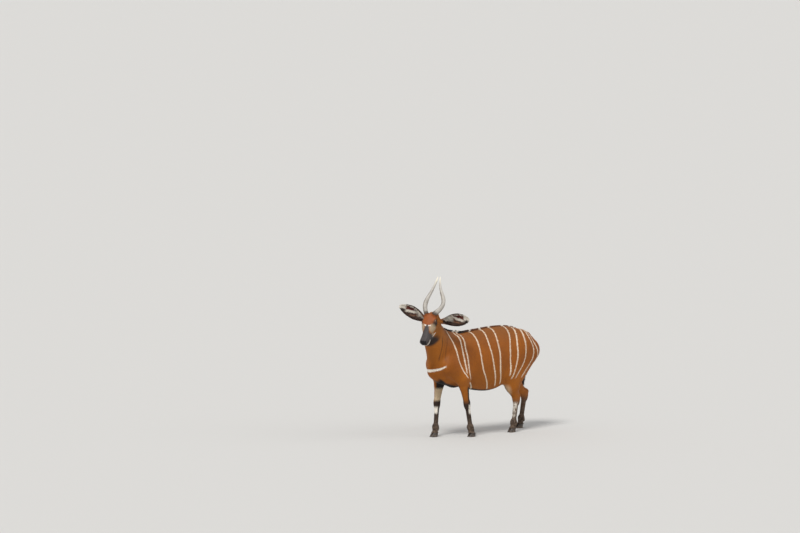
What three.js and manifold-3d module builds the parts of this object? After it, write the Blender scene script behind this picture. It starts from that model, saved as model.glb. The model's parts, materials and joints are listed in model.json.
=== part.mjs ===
// A life-size bongo antelope, standing still with its head turned to its left.
// Millimetres, +Z up. It faces -X, and its left side is -Y. The origin is on the ground under its trunk.
import * as THREE from "three";
import { mergeVertices } from "three/addons/utils/BufferGeometryUtils.js";
import Module from "manifold-3d";

const wasm = await Module();
wasm.setup();

// Driving dimensions
const backHeight = 1170;
const bodyLength = 1490;
const bellyWidth = 446;
const kneeHeight = 365;
const hockHeight = 362;
const headLength = 405;
const headTurn = THREE.MathUtils.degToRad(26);
const facePitch = THREE.MathUtils.degToRad(48);
const hornLength = 474;
const earLength = 346;
const eyeRadius = 20;
const tailLength = 540;
const hoofHeight = 44;
const gap = 0.3;

const point = (x, y, z) => new THREE.Vector3(x, y, z);
const left = -1;
const right = 1;

// A repeatable draw between 0 and 1, for locks that vary as real ones do
let drawState = 7;
function draw() {
  drawState = (drawState * 16807) % 2147483647;
  return drawState / 2147483647;
}
const vary = (size, share) => size * (1 + share * (2 * draw() - 1));

// A smooth curve through [x, value] pairs, as a function of x
function through(pairs) {
  const slope = pairs.map((_, i) => {
    const before = pairs[Math.max(i - 1, 0)];
    const after = pairs[Math.min(i + 1, pairs.length - 1)];
    return (after[1] - before[1]) / (after[0] - before[0]);
  });
  return (x) => {
    if (x <= pairs[0][0]) return pairs[0][1];
    const last = pairs.length - 1;
    if (x >= pairs[last][0]) return pairs[last][1];
    let i = 0;
    while (x > pairs[i + 1][0]) i++;
    const width = pairs[i + 1][0] - pairs[i][0];
    const t = (x - pairs[i][0]) / width;
    const u = 1 - t;
    return (
      u * u * (1 + 2 * t) * pairs[i][1] +
      t * t * (3 - 2 * t) * pairs[i + 1][1] +
      t * u * width * (u * slope[i] - t * slope[i + 1])
    );
  };
}

// Fields: negative inside a form, positive outside, about a distance near its surface

// A tapered limb from a to b, flattened sideways when flat is over 1
function limb(a, b, radiusA, radiusB, flat = 1) {
  const start = point(a.x, a.y * flat, a.z);
  const along = point(b.x, b.y * flat, b.z).sub(start);
  const lengthSq = along.lengthSq();
  return (p) => {
    const dx = p.x - start.x;
    const dy = p.y * flat - start.y;
    const dz = p.z - start.z;
    const t = THREE.MathUtils.clamp((dx * along.x + dy * along.y + dz * along.z) / lengthSq, 0, 1);
    const off = Math.hypot(dx - t * along.x, dy - t * along.y, dz - t * along.z);
    return off - THREE.MathUtils.lerp(radiusA, radiusB, t);
  };
}

// An ellipsoid, leaned by a turn about Y
function swelling(centre, rx, ry, rz, lean = 0) {
  const cos = Math.cos(lean);
  const sin = Math.sin(lean);
  const least = Math.min(rx, ry, rz);
  return (p) => {
    const dx = p.x - centre.x;
    const dz = p.z - centre.z;
    const reach = Math.hypot((dx * cos - dz * sin) / rx, (p.y - centre.y) / ry, (dx * sin + dz * cos) / rz);
    return (reach - 1) * least;
  };
}

// A long form given by its top, bottom and half width at each place along X
function barrel({ top, bottom, half, from, to, widest, square }) {
  return (p) => {
    const high = top(p.x);
    const low = bottom(p.x);
    const middle = THREE.MathUtils.lerp(low, high, widest);
    const tall = p.z > middle ? high - middle : middle - low;
    const wide = half(p.x);
    const reach = (Math.abs(p.y / wide) ** square + Math.abs((p.z - middle) / tall) ** square) ** (1 / square);
    return Math.max((reach - 1) * Math.min(wide, tall), from - p.x, p.x - to);
  };
}

function blend(fields, softness) {
  return (p) => {
    let least = fields[0](p);
    for (let i = 1; i < fields.length; i++) {
      const next = fields[i](p);
      const near = Math.max(softness - Math.abs(least - next), 0) / softness;
      least = Math.min(least, next) - near * near * softness * 0.25;
    }
    return least;
  };
}

// The trunk's outline, as [place along X, size] pairs
const trunkTop = through([
  [-0.4, 0.965],
  [-0.27, 0.966],
  [-0.12, 0.98],
  [0.06, 1.0],
  [0.22, 0.998],
  [0.34, 0.965],
  [0.43, 0.9],
].map(([x, z]) => [x * bodyLength, z * backHeight]));
const trunkBottom = through([
  [-0.4, 0.56],
  [-0.28, 0.492],
  [-0.17, 0.44],
  [-0.02, 0.404],
  [0.08, 0.408],
  [0.17, 0.446],
  [0.28, 0.53],
  [0.43, 0.62],
].map(([x, z]) => [x * bodyLength, z * backHeight]));
const trunkHalf = through([
  [-0.4, 0.66],
  [-0.28, 0.82],
  [-0.12, 0.97],
  [0.02, 1.0],
  [0.16, 0.97],
  [0.3, 0.85],
  [0.43, 0.68],
].map(([x, y]) => [x * bodyLength, (y * bellyWidth) / 2]));

const withers = point(-420, 0, 1092);
const nape = point(-600, -8, 1126);
const neckBase = point(-525, 0, 915);
const neckTop = point(-822, -82, 1232);
const poll = point(-812, -80, 1318);

// The joints of each leg, from the top down
const legs = {
  fore_left: { side: left, joints: { elbow: [-414, 655, 152], mid: [-345, kneeHeight, 140], fetlock: [-290, 108, 132], toe: [-262, 0, 130] } },
  fore_right: { side: right, joints: { elbow: [-478, 655, 152], mid: [-534, kneeHeight, 140], fetlock: [-562, 108, 132], toe: [-580, 0, 130] } },
  hind_left: { side: left, joints: { stifle: [258, 672, 150], mid: [392, hockHeight, 126], fetlock: [358, 110, 122], toe: [338, 0, 120] } },
  hind_right: { side: right, joints: { stifle: [470, 640, 148], mid: [742, hockHeight, 126], fetlock: [692, 110, 122], toe: [666, 0, 120] } },
};
const jointPoint = ({ side, joints }, name) => point(joints[name][0], side * joints[name][2], joints[name][1]);

// The masses of flesh that the upper leg shares with the trunk
function shoulderMass(leg) {
  const elbow = jointPoint(leg, "elbow");
  const tip = point(-572, leg.side * 126, 800);
  return [
    limb(point(-415, leg.side * 78, 1035), tip, 66, 92, 1.45),
    limb(tip, elbow, 94, 74, 1.3),
    limb(point(-360, leg.side * 118, 850), elbow, 82, 70, 1.35),
  ];
}
function thighMass(leg) {
  const stifle = jointPoint(leg, "stifle");
  const hock = jointPoint(leg, "mid");
  const hip = point(470, leg.side * 94, 960);
  const seat = point(632, leg.side * 80, 880);
  const calf = stifle.clone().lerp(hock, 0.4);
  return [
    limb(hip, stifle, 150, 98, 1.35),
    limb(seat, calf.clone().add(point(34, 0, 0)), 108, 70, 1.3),
    limb(hip, seat, 124, 106, 1.3),
    limb(point(500, leg.side * 100, 820), calf, 120, 74, 1.35),
  ];
}

const trunkField = blend(
  [
    barrel({ top: trunkTop, bottom: trunkBottom, half: trunkHalf, from: -0.41 * bodyLength, to: 0.43 * bodyLength, widest: 0.46, square: 2.15 }),
    swelling(point(-590, 0, 815), 152, 142, 205),
    limb(point(-692, 0, 738), point(-430, 0, 634), 82, 94, 1.1),
    limb(neckBase, neckTop, 205, 98, 1.45),
    limb(point(-628, 0, 890), point(-812, -66, 1110), 134, 84, 1.2),
    limb(withers, nape, 42, 42, 1.3),
    limb(nape, poll, 42, 40, 1.3),
    swelling(point(640, 0, 955), 92, 95, 120),
    ...shoulderMass(legs.fore_left),
    ...shoulderMass(legs.fore_right),
    ...thighMass(legs.hind_left),
    ...thighMass(legs.hind_right),
  ],
  62,
);

// The head's own frame: x runs to the nose, y to its left, z up from the face. The forehead is at browPlace.
const browPlace = 60;
const forehead = point(-838, -92, 1370);
const noseWay = point(-Math.cos(headTurn) * Math.cos(facePitch), -Math.sin(headTurn) * Math.cos(facePitch), -Math.sin(facePitch));
const headLeft = point(Math.sin(headTurn), -Math.cos(headTurn), 0);
const faceUp = noseWay.clone().cross(headLeft);
const headFrame = new THREE.Matrix4().makeBasis(noseWay, headLeft, faceUp);
headFrame.setPosition(forehead.clone().addScaledVector(noseWay, -browPlace));
const toHead = headFrame.clone().invert();

const faceTop = through([
  [-30, -52],
  [25, -15],
  [70, 3],
  [130, 0],
  [200, -8],
  [270, -16],
  [330, -22],
  [365, -27],
  [394, -44],
  [406, -62],
]);
const faceBottom = through([
  [-30, -120],
  [20, -168],
  [75, -188],
  [130, -184],
  [200, -166],
  [270, -146],
  [330, -128],
  [368, -112],
  [394, -92],
  [406, -78],
]);
const faceHalf = through([
  [-30, 52],
  [20, 66],
  [80, 71],
  [135, 66],
  [200, 56],
  [270, 48],
  [330, 46],
  [368, 43],
  [394, 31],
  [406, 12],
]);
const eyePlace = (side) => point(136, side * 68, -40);
const pair = (make) => [1, -1].flatMap(make);
const faceField = blend(
  [
    barrel({ top: faceTop, bottom: faceBottom, half: faceHalf, from: -30, to: headLength + 1, widest: 0.6, square: 2.3 }),
    ...pair((side) => [
      swelling(point(132, side * 60, -30), 40, 26, 27),
      swelling(point(92, side * 46, -128), 62, 27, 56),
      limb(point(172, side * 56, -78), point(40, side * 62, -82), 17, 20),
      limb(point(62, side * 52, -114), point(54, side * 92, -120), 32, 26),
      limb(point(66, side * 42, -28), point(52, side * 48, -2), 34, 31),
      swelling(point(348, side * 28, -76), 46, 22, 28),
      swelling(point(376, side * 18, -44), 26, 19, 19),
    ]),
    swelling(point(336, 0, -116), 50, 32, 18),
    swelling(point(382, 0, -60), 26, 33, 28),
  ],
  24,
);
const headField = (p) => faceField(p.clone().applyMatrix4(toHead));
const bodyField = blend([trunkField, headField], 46);

// How far a ray from inside runs before it leaves the field, at most to reach
function exit(field, origin, way, reach) {
  const at = (r) => field(point(origin.x + way.x * r, origin.y + way.y * r, origin.z + way.z * r));
  const stride = reach / 70;
  let inside = 0;
  while (at(inside + stride) < 0) {
    inside += stride;
    if (inside >= reach) return reach;
  }
  let outside = inside + stride;
  for (let i = 0; i < 12; i++) {
    const middle = (inside + outside) / 2;
    if (at(middle) < 0) inside = middle;
    else outside = middle;
  }
  return inside;
}

// A closed surface from rings of points and a pole at each end
function closeRings(rings, first, last) {
  const sides = rings[0].length;
  const places = [first, ...rings.flat(), last];
  const index = [];
  for (let j = 0; j < sides; j++) {
    const next = (j + 1) % sides;
    index.push(0, 1 + next, 1 + j);
    for (let i = 0; i + 1 < rings.length; i++) {
      const a = 1 + i * sides;
      const b = a + sides;
      index.push(a + j, a + next, b + next, a + j, b + next, b + j);
    }
    const end = 1 + (rings.length - 1) * sides;
    index.push(places.length - 1, end + j, end + next);
  }
  const geometry = new THREE.BufferGeometry().setFromPoints(places);
  geometry.setIndex(index);
  return geometry;
}

// A skin round an axis: each station has a centre, two ways that span its ring, and the most that a ray may reach.
// A ray also stops a little outside the form's own field, so that it doesn't run on inside a neighbour.
const ownMargin = 12;
function wrap(stations, sides, field, own) {
  const rings = stations.map(({ centre, across, up, reach, inset = 0 }) => {
    const ring = [];
    for (let j = 0; j < sides; j++) {
      const angle = (2 * Math.PI * j) / sides;
      const way = across.clone().multiplyScalar(Math.cos(angle)).addScaledVector(up, Math.sin(angle));
      const most = Math.min(reach, exit(own, centre, way, reach) + ownMargin);
      ring.push(centre.clone().addScaledVector(way, Math.max(exit(field, centre, way, most) - inset, 4)));
    }
    return ring;
  });
  const endPole = (station, way) => station.centre.clone().addScaledVector(way, exit(field, station.centre, way, station.tip ?? 0.1));
  const firstStation = stations[0];
  const lastStation = stations[stations.length - 1];
  const forward = firstStation.up.clone().cross(firstStation.across).normalize();
  const inward = Math.sign(forward.dot(stations[1].centre.clone().sub(firstStation.centre))) || 1;
  const onward = lastStation.up.clone().cross(lastStation.across).normalize().multiplyScalar(inward);
  return closeRings(rings, endPole(firstStation, forward.multiplyScalar(-inward)), endPole(lastStation, onward));
}

// A geometry as a solid that faces outwards
function solid(geometry) {
  const bare = geometry.clone();
  bare.deleteAttribute("normal");
  bare.deleteAttribute("uv");
  const merged = mergeVertices(bare, 1e-4);
  const triVerts = new Uint32Array(merged.index.array);
  const vertProperties = new Float32Array(merged.attributes.position.array);
  const build = () => new wasm.Manifold(new wasm.Mesh({ numProp: 3, vertProperties, triVerts }));
  const made = build();
  if (made.volume() > 0) return made;
  for (let i = 0; i < triVerts.length; i += 3) [triVerts[i], triVerts[i + 1]] = [triVerts[i + 1], triVerts[i]];
  return build();
}

// The largest closed surface of a solid
function largest(made) {
  return made.decompose().reduce((best, next) => (next.volume() > best.volume() ? next : best));
}

// A closed tube along centres, each ring shaped by section(share, angle) in millimetres
function sweep(path, steps, sides, section, upHint) {
  const rings = [];
  for (let i = 0; i <= steps; i++) {
    const share = i / steps;
    const centre = path.getPoint(share);
    const along = path.getTangent(share);
    const across = upHint.clone().cross(along).normalize();
    const up = along.clone().cross(across);
    const ring = [];
    for (let j = 0; j < sides; j++) {
      const angle = (2 * Math.PI * j) / sides;
      const [a, b] = section(share, angle);
      ring.push(centre.clone().addScaledVector(across, a).addScaledVector(up, b));
    }
    rings.push(ring);
  }
  return closeRings(rings, path.getPoint(0), path.getPoint(1));
}

// A flat, tapered lock of hair that leaves its root along out and bends over towards lie.
// It is broad across its bend, or in the plane of its bend when it is edge on.
function lock({ root, out, lie, length, width, thick, sunk, edgeOn = false }) {
  const bed = out.clone().negate().multiplyScalar(sunk).add(root);
  const bend = root.clone().addScaledVector(out, length * 0.55);
  const tip = bend.clone().addScaledVector(lie, length * 0.62);
  const path = new THREE.QuadraticBezierCurve3(bed, bend, tip);
  const taper = through([[0, 1], [0.45, 0.95], [0.8, 0.6], [1, 0.14]]);
  const inBend = edgeOn ? width : thick;
  const acrossBend = edgeOn ? thick : width;
  const diamond = (share, angle) => [
    (Math.cos(angle) * inBend * taper(share)) / 2,
    (Math.sin(angle) * acrossBend * taper(share)) / 2,
  ];
  return solid(sweep(path, 2, 4, diamond, out.clone().cross(lie).normalize()));
}

// Trunk and neck as one skin round a spine from the rump to the back of the head
const spine = new THREE.CatmullRomCurve3([
  point(690, 0, 905),
  point(510, 0, 885),
  point(210, 0, 840),
  point(-80, 0, 825),
  point(-340, 0, 860),
  point(-550, -4, 945),
  point(-705, -36, 1075),
  point(-796, -68, 1190),
  point(-836, -86, 1275),
]);
const zUp = point(0, 0, 1);
function spineStation(share) {
  const centre = spine.getPointAt(share);
  const along = spine.getTangentAt(share);
  const across = along.clone().cross(zUp).normalize();
  return { centre, across, up: across.clone().cross(along).normalize(), along, reach: 460 };
}
const spineRings = 38;
const ringPlace = through([[0, 0], [0.07, 0.045], [0.4, 0.53], [0.85, 0.86], [1, 1]]);
const spineStations = [];
for (let i = 0; i < spineRings; i++) {
  const place = ringPlace(i / (spineRings - 1));
  const station = spineStation(place);
  station.tip = i === 0 ? 120 : 0.1;
  station.inset = 9 * THREE.MathUtils.smoothstep(place, 0.9, 0.96);
  if (place > 0.9) station.reach = THREE.MathUtils.mapLinear(place, 0.9, 1, 200, 70);
  spineStations.push(station);
}
const trunkAndNeck = solid(wrap(spineStations, 28, bodyField, trunkField));

// The head as a skin round its own axis
const headStations = [];
const headRings = 32;
for (let i = 0; i < headRings; i++) {
  const even = i / (headRings - 1);
  const along = THREE.MathUtils.lerp(-12, headLength - 3, even - (0.1 * Math.sin(2 * Math.PI * even)) / 2);
  const middle = (faceTop(along) * 1.1 + faceBottom(along)) / 2.1;
  headStations.push({
    centre: point(along, 0, middle).applyMatrix4(headFrame),
    across: headLeft,
    up: faceUp,
    reach: THREE.MathUtils.clamp(70 + (along + 12) * 1.6, 60, 140),
    inset: 9 * (1 - THREE.MathUtils.smoothstep(along, -10, 26)),
    tip: i === 0 ? 0.1 : 40,
  });
}
const headSkin = solid(wrap(headStations, 26, bodyField, headField));

// Each leg, from inside the trunk down to the coronets of its hooves
function legField(name) {
  const leg = legs[name];
  const fore = name.startsWith("fore");
  const mid = jointPoint(leg, "mid");
  const fetlock = jointPoint(leg, "fetlock");
  const toe = jointPoint(leg, "toe");
  const coronet = fetlock.clone().lerp(toe, 0.62);
  const shin = mid.clone().lerp(fetlock, 0.12);
  const forms = [
    limb(shin, fetlock, fore ? 25 : 28, fore ? 22 : 24, fore ? 1.0 : 1.1),
    limb(mid.clone().lerp(fetlock, 0.15).add(point(15, 0, 0)), fetlock.clone().add(point(12, 0, 6)), 12, 12),
    swelling(fetlock, 32, 28, 31),
    limb(fetlock, coronet, 27, 27, 0.92),
    swelling(coronet.clone().add(point(2, 0, -4)), 38, 36, 22),
  ];
  if (fore) {
    const elbow = jointPoint(leg, "elbow");
    const belly = elbow.clone().lerp(mid, 0.3);
    forms.push(limb(elbow, belly, 76, 58, 1.25));
    forms.push(limb(belly, mid.clone().lerp(elbow, 0.12), 58, 36, 1.15));
    forms.push(swelling(mid, 40, 35, 50));
    forms.push(swelling(elbow.clone().add(point(46, 0, 10)), 38, 30, 46));
  } else {
    const stifle = jointPoint(leg, "stifle");
    const calf = stifle.clone().lerp(mid, 0.52);
    const heel = mid.clone().add(point(34, 0, 40));
    forms.push(limb(stifle, calf, 100, 84, 1.35));
    forms.push(limb(calf, mid.clone().lerp(stifle, 0.1), 84, 42, 1.3));
    forms.push(swelling(mid, 44, 32, 54));
    forms.push(limb(heel, mid.clone().add(point(12, 0, -40)), 21, 20));
    forms.push(limb(calf.clone().add(point(58, 0, -6)), heel, 17, 14));
  }
  return blend([...forms, ...(fore ? shoulderMass(leg) : thighMass(leg))], 26);
}
function legSkin(name) {
  const leg = legs[name];
  const fore = name.startsWith("fore");
  const own = legField(name);
  const field = blend([own, trunkField], 40);
  const upper = jointPoint(leg, fore ? "elbow" : "stifle");
  const axis = [
    upper.clone().lerp(jointPoint(leg, "mid"), -0.32),
    upper,
    jointPoint(leg, "mid"),
    jointPoint(leg, "fetlock"),
    jointPoint(leg, "toe"),
  ].map((p) => [p.z, p]);
  const placeAt = (z) => {
    let i = 0;
    while (i < axis.length - 2 && z < axis[i + 1][0]) i++;
    const share = (axis[i][0] - z) / (axis[i][0] - axis[i + 1][0]);
    return axis[i][1].clone().lerp(axis[i + 1][1], share);
  };
  const highest = axis[0][0];
  const rings = 22;
  const stations = [];
  for (let i = 0; i < rings; i++) {
    const z = THREE.MathUtils.lerp(highest, hoofHeight - 8, i / (rings - 1));
    const buried = THREE.MathUtils.smoothstep(z, fore ? 610 : 600, fore ? 680 : 700);
    stations.push({
      centre: placeAt(z),
      across: point(1, 0, 0),
      up: point(0, 1, 0),
      reach: THREE.MathUtils.lerp(fore ? 105 : 140, 60, buried),
      inset: 12 * buried,
    });
  }
  let made = solid(wrap(stations, 14, field, own));
  const fetlock = jointPoint(leg, "fetlock");
  for (const way of [1, -1]) {
    const root = fetlock.clone().add(point(22, way * 13, -16));
    const tip = root.clone().add(point(20, way * 3, -24));
    const claw = sweep(new THREE.LineCurve3(root, tip), 2, 6, (share, angle) => [Math.cos(angle) * 10 * (1 - 0.55 * share), Math.sin(angle) * 10 * (1 - 0.55 * share)], point(0, 1, 0));
    made = made.add(solid(claw));
  }
  return made;
}

// A box between two corners, as a solid
function block(low, high) {
  const size = high.clone().sub(low);
  const box = new THREE.BoxGeometry(size.x, size.y, size.z);
  const middle = low.clone().add(high).multiplyScalar(0.5);
  box.translate(middle.x, middle.y, middle.z);
  return solid(box);
}

// A large block that begins at a plane and lies on the side that way points to
function beyond(plane, way) {
  const size = 3000;
  const box = new THREE.BoxGeometry(size, size, size);
  box.translate(0, 0, size / 2);
  const turn = new THREE.Quaternion().setFromUnitVectors(zUp, way.clone().normalize());
  box.applyQuaternion(turn);
  box.translate(plane.x, plane.y, plane.z);
  return solid(box);
}

// Crest: short upright hair along the spine, from the nape to the croup
function crestLocks() {
  const made = [];
  const count = 46;
  const height = through([[0, 16], [0.25, 24], [0.5, 32], [0.68, 44], [0.85, 34], [1, 24]]);
  for (let i = 0; i < count; i++) {
    const share = i / (count - 1);
    const station = spineStation(THREE.MathUtils.lerp(0.1, 0.93, share));
    const out = station.up.clone().addScaledVector(station.across, 0.12 * (2 * draw() - 1)).normalize();
    const surface = exit(bodyField, station.centre, station.up, 460);
    made.push(
      lock({
        root: station.centre.clone().addScaledVector(station.up, surface),
        out,
        lie: station.along.clone().negate().addScaledVector(out, 0.35).normalize(),
        length: vary(height(share), 0.18),
        width: vary(44, 0.15),
        thick: vary(15, 0.15),
        sunk: 12,
        edgeOn: true,
      }),
    );
  }
  return made;
}

// Horn: a keeled, twisted sweep that bows outwards and closes again towards its tip
const bow = through([[0, 46], [0.1, 74], [0.2, 94], [0.3, 103], [0.4, 97], [0.5, 80], [0.62, 55], [0.75, 34], [0.88, 20], [1, 13]]);
const sway = through([[0, 0], [0.25, -16], [0.5, -8], [0.75, 8], [1, 6]]);
const hornGirth = through([[0, 27], [0.15, 26], [0.45, 21], [0.75, 13], [0.93, 7.5], [1, 3]]);
const drift = through([[0, 0], [0.3, 5], [0.6, 0], [1, -12]]);
const hornLean = THREE.MathUtils.degToRad(5);
function hornSolid(side, swell) {
  const way = point(-Math.cos(hornLean), 0, Math.sin(hornLean));
  const root = point(48, 0, 2);
  const centres = [];
  for (let i = 0; i <= 24; i++) {
    const share = i / 24;
    const along = (share * hornLength) - (i === 0 ? 14 + swell : 0);
    centres.push(point(root.x + way.x * along, side * bow(share) + drift(share), root.z + way.z * along + sway(share)).applyMatrix4(headFrame));
  }
  const path = new THREE.CatmullRomCurve3(centres);
  const section = (share, angle) => {
    const turn = side * (0.7 + share * 2 * Math.PI * 0.9);
    const keel = Math.max(Math.cos(angle - turn), 0) ** 5;
    const backKeel = Math.max(Math.cos(angle - turn - Math.PI * 0.9), 0) ** 6;
    const radius = hornGirth(share) * (0.93 + 0.2 * keel + 0.1 * backKeel) + swell;
    return [Math.cos(angle) * radius, Math.sin(angle) * radius];
  };
  return solid(sweep(path, 30, 12, section, faceUp));
}

// Ear: a deep cup of thin skin, thick at its root, with long pale hair inside its rims
const earLift = { left: THREE.MathUtils.degToRad(7), right: THREE.MathUtils.degToRad(27) };
function earFrame(side) {
  const lift = side > 0 ? earLift.left : earLift.right;
  const level = headLeft.clone().multiplyScalar(side);
  const along = level.clone().multiplyScalar(Math.cos(lift)).addScaledVector(zUp, Math.sin(lift)).normalize();
  const ahead = point(-Math.cos(headTurn), -Math.sin(headTurn), 0);
  const open = ahead.clone().multiplyScalar(0.93).addScaledVector(zUp, -0.24);
  open.addScaledVector(along, -open.dot(along)).normalize();
  const root = point(54, side * 84, -120).applyMatrix4(headFrame);
  return { root, along, open, rim: along.clone().cross(open).normalize() };
}
const earHalf = through([[0, 24], [0.12, 34], [0.35, 64], [0.55, 73], [0.75, 60], [0.9, 34], [1, 5]]);
const earDepth = through([[0, 40], [0.12, 44], [0.35, 40], [0.6, 27], [0.85, 13], [1, 3]]);
const earSag = through([[0, 0], [0.3, -8], [0.6, -4], [1, 22]]);
const earWall = through([[0, 20], [0.1, 16], [0.22, 7], [0.6, 5], [1, 3]]);
function earPoint(frame, share, turn, wall) {
  const half = earHalf(share) - wall;
  const depth = Math.max(earDepth(share) - wall, 0.6);
  const rimCurl = THREE.MathUtils.lerp(1.18, 0.5, Math.min(share * 1.6, 1));
  const angle = turn * Math.PI * 0.5 * (1 + 0.28 * rimCurl);
  return frame.root
    .clone()
    .addScaledVector(frame.along, share * earLength)
    .addScaledVector(frame.rim, half * Math.sin(angle))
    .addScaledVector(frame.open, -depth * Math.cos(angle) + earSag(share));
}
function earSolid(side, swell) {
  const frame = earFrame(side);
  const steps = 10;
  const turns = 6;
  const rings = [];
  for (let i = 0; i <= steps; i++) {
    const share = i / steps;
    const ring = [];
    for (let j = 0; j <= turns; j++) ring.push(earPoint(frame, share, (-1 + (2 * j) / turns) * (1 + swell * 0.02), -swell));
    for (let j = turns; j >= 0; j--) ring.push(earPoint(frame, share, (-1 + (2 * j) / turns) * 0.97, swell + earWall(share)));
    rings.push(ring);
  }
  const middleOf = (ring) => ring.reduce((sum, p) => sum.add(p), point(0, 0, 0)).divideScalar(ring.length);
  const backWall = (ring) => ring[turns / 2].clone().lerp(ring[ring.length - 1 - turns / 2], 0.5);
  const cup = solid(closeRings(rings, backWall(rings[0]), backWall(rings[steps]).lerp(middleOf(rings[steps]), 0.2)));
  return cup;
}
function earFringe(frame) {
  const made = [];
  for (const rim of [1, -1]) {
    const count = 5;
    for (let i = 0; i < count; i++) {
      const share = THREE.MathUtils.lerp(0.22, 0.84, i / (count - 1));
      const root = earPoint(frame, share, rim * 0.84, earWall(share) * 0.5);
      const inward = frame.rim.clone().multiplyScalar(-rim).addScaledVector(frame.open, 0.12).addScaledVector(frame.along, 0.3).normalize();
      made.push(
        lock({
          root,
          out: inward,
          lie: frame.along.clone().addScaledVector(frame.rim, -rim * 0.35).addScaledVector(frame.open, -0.15).normalize(),
          length: vary(44 * (1 - 0.3 * share), 0.15),
          width: 26,
          thick: 5,
          sunk: 3,
        }),
      );
    }
  }
  return made;
}

// Lids: a shell round the eyeball with an almond-shaped opening
const eyeWay = (side) => point(0.3, side * 0.93, 0.16).normalize();
function eyeBall(side, radius, facets) {
  const ball = new THREE.SphereGeometry(radius, facets, Math.round(facets * 0.6));
  const centre = eyePlace(side);
  ball.translate(centre.x, centre.y, centre.z);
  return solid(ball.applyMatrix4(headFrame));
}
function lidSlit(side) {
  const slit = new THREE.Shape();
  slit.moveTo(-21, -5);
  slit.quadraticCurveTo(-2, 25, 20, 3);
  slit.quadraticCurveTo(2, -19, -21, -5);
  const cut = new THREE.ExtrudeGeometry(slit, { depth: 60, bevelEnabled: false, curveSegments: 7 });
  const out = eyeWay(side);
  const forward = point(1, 0, 0).addScaledVector(out, -out.x).normalize();
  const up = side > 0 ? forward.clone().cross(out).negate() : forward.clone().cross(out);
  const basis = new THREE.Matrix4().makeBasis(forward.clone().negate(), up, out);
  basis.setPosition(eyePlace(side));
  return solid(cut.applyMatrix4(basis).applyMatrix4(headFrame));
}

// Mouth line and nostrils, cut into the head
function mouthCut(side) {
  const line = new THREE.CatmullRomCurve3([
    point(398, side * 2, -86),
    point(380, side * 26, -87),
    point(345, side * 42, -91),
    point(300, side * 46, -94),
    point(262, side * 48, -92),
  ].map((p) => p.applyMatrix4(headFrame)));
  return solid(sweep(line, 8, 6, (share, angle) => [Math.cos(angle) * 9 * (1 - 0.4 * share), Math.sin(angle) * 2.6 * (1 - 0.5 * share)], faceUp));
}
function nostril(side) {
  const hole = new THREE.SphereGeometry(1, 10, 7);
  hole.scale(13, 7, 5);
  hole.rotateZ(side * -0.75);
  hole.rotateX(side * -0.5);
  hole.translate(389, side * 21, -52);
  return solid(hole.applyMatrix4(headFrame));
}

// Hoof: half of a cloven foot, pointed in front, flat below
function hoof(toe, inner) {
  const levels = 3;
  const rings = [];
  for (let i = 0; i <= levels; i++) {
    const share = i / levels;
    const ring = [];
    for (let j = 0; j < 12; j++) {
      const angle = (2 * Math.PI * j) / 12;
      const front = -Math.cos(angle);
      const pinch = front < 0 ? 1 - 0.45 * front * front : 1 - 0.12 * front * front;
      const inside = Math.sign(Math.sin(angle)) === -inner ? 0.72 : 1;
      const x = toe.x - 12 + front * (44 - 12 * share) + 17 * share;
      const y = toe.y + inner * 18.5 + Math.sin(angle) * (18.5 - 1.5 * share) * pinch * inside;
      ring.push(point(x, y, share * (hoofHeight - gap)));
    }
    rings.push(ring);
  }
  const middleOf = (ring) => ring.reduce((sum, p) => sum.add(p), point(0, 0, 0)).divideScalar(ring.length);
  return solid(closeRings(rings, middleOf(rings[0]), middleOf(rings[levels])));
}

// Tail: a slim dock that hangs behind the rump and ends in a tuft of long hair
const tailPath = new THREE.CatmullRomCurve3([
  point(668, 0, 1020),
  point(728, 4, 1000),
  point(772, 40, 925),
  point(788, 105, 1020 - tailLength * 0.37),
  point(788, 162, 1020 - tailLength * 0.56),
  point(780, 196, 1020 - tailLength * 0.74),
  point(776, 210, 1020 - tailLength * 0.92),
]);
const tailGirth = through([[0, 27], [0.2, 24], [0.45, 17], [0.62, 14], [0.76, 25], [0.88, 23], [1, 7]]);
function tailSolid(swell) {
  const round = (share, angle) => {
    const radius = tailGirth(share) + swell;
    return [Math.cos(angle) * radius, Math.sin(angle) * radius];
  };
  return solid(sweep(tailPath, 16, 8, round, point(1, 0, 0)));
}
function tailTuft() {
  const made = [];
  const rows = 3;
  const around = 5;
  for (let row = 0; row < rows; row++) {
    const share = THREE.MathUtils.lerp(0.68, 0.95, row / (rows - 1));
    const centre = tailPath.getPoint(share);
    for (let k = 0; k < around; k++) {
      const angle = (2 * Math.PI * (k + 0.5 * (row % 2))) / around + 0.3 * draw();
      const spread = point(Math.cos(angle), Math.sin(angle), 0);
      made.push(
        lock({
          root: centre.clone().addScaledVector(spread, tailGirth(share) * 0.62),
          out: spread.clone().setZ(-2.2).normalize(),
          lie: spread.clone().multiplyScalar(-0.12).setZ(-1).normalize(),
          length: vary(92, 0.14),
          width: vary(30, 0.12),
          thick: 13,
          sunk: 14,
        }),
      );
    }
  }
  return made;
}

// Assembly
const flesh = wasm.Manifold.union([trunkAndNeck, headSkin, ...Object.keys(legs).map(legSkin), ...crestLocks()]);

const throatStation = spineStation(0.885);
const headPlane = throatStation.centre;
const headWay = throatStation.along.clone().add(point(0, 0, 0.1)).normalize();
const neckPlane = point(-600, 0, 985);
const neckWay = point(-0.74, 0, 0.67).normalize();
const afterGap = (plane, way) => plane.clone().addScaledVector(way, gap);

const headSide = beyond(afterGap(headPlane, headWay), headWay);
const bodySide = beyond(headPlane, headWay.clone().negate());
const neckSide = beyond(afterGap(neckPlane, neckWay), neckWay);
const trunkSide = beyond(neckPlane, neckWay.clone().negate());

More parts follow.
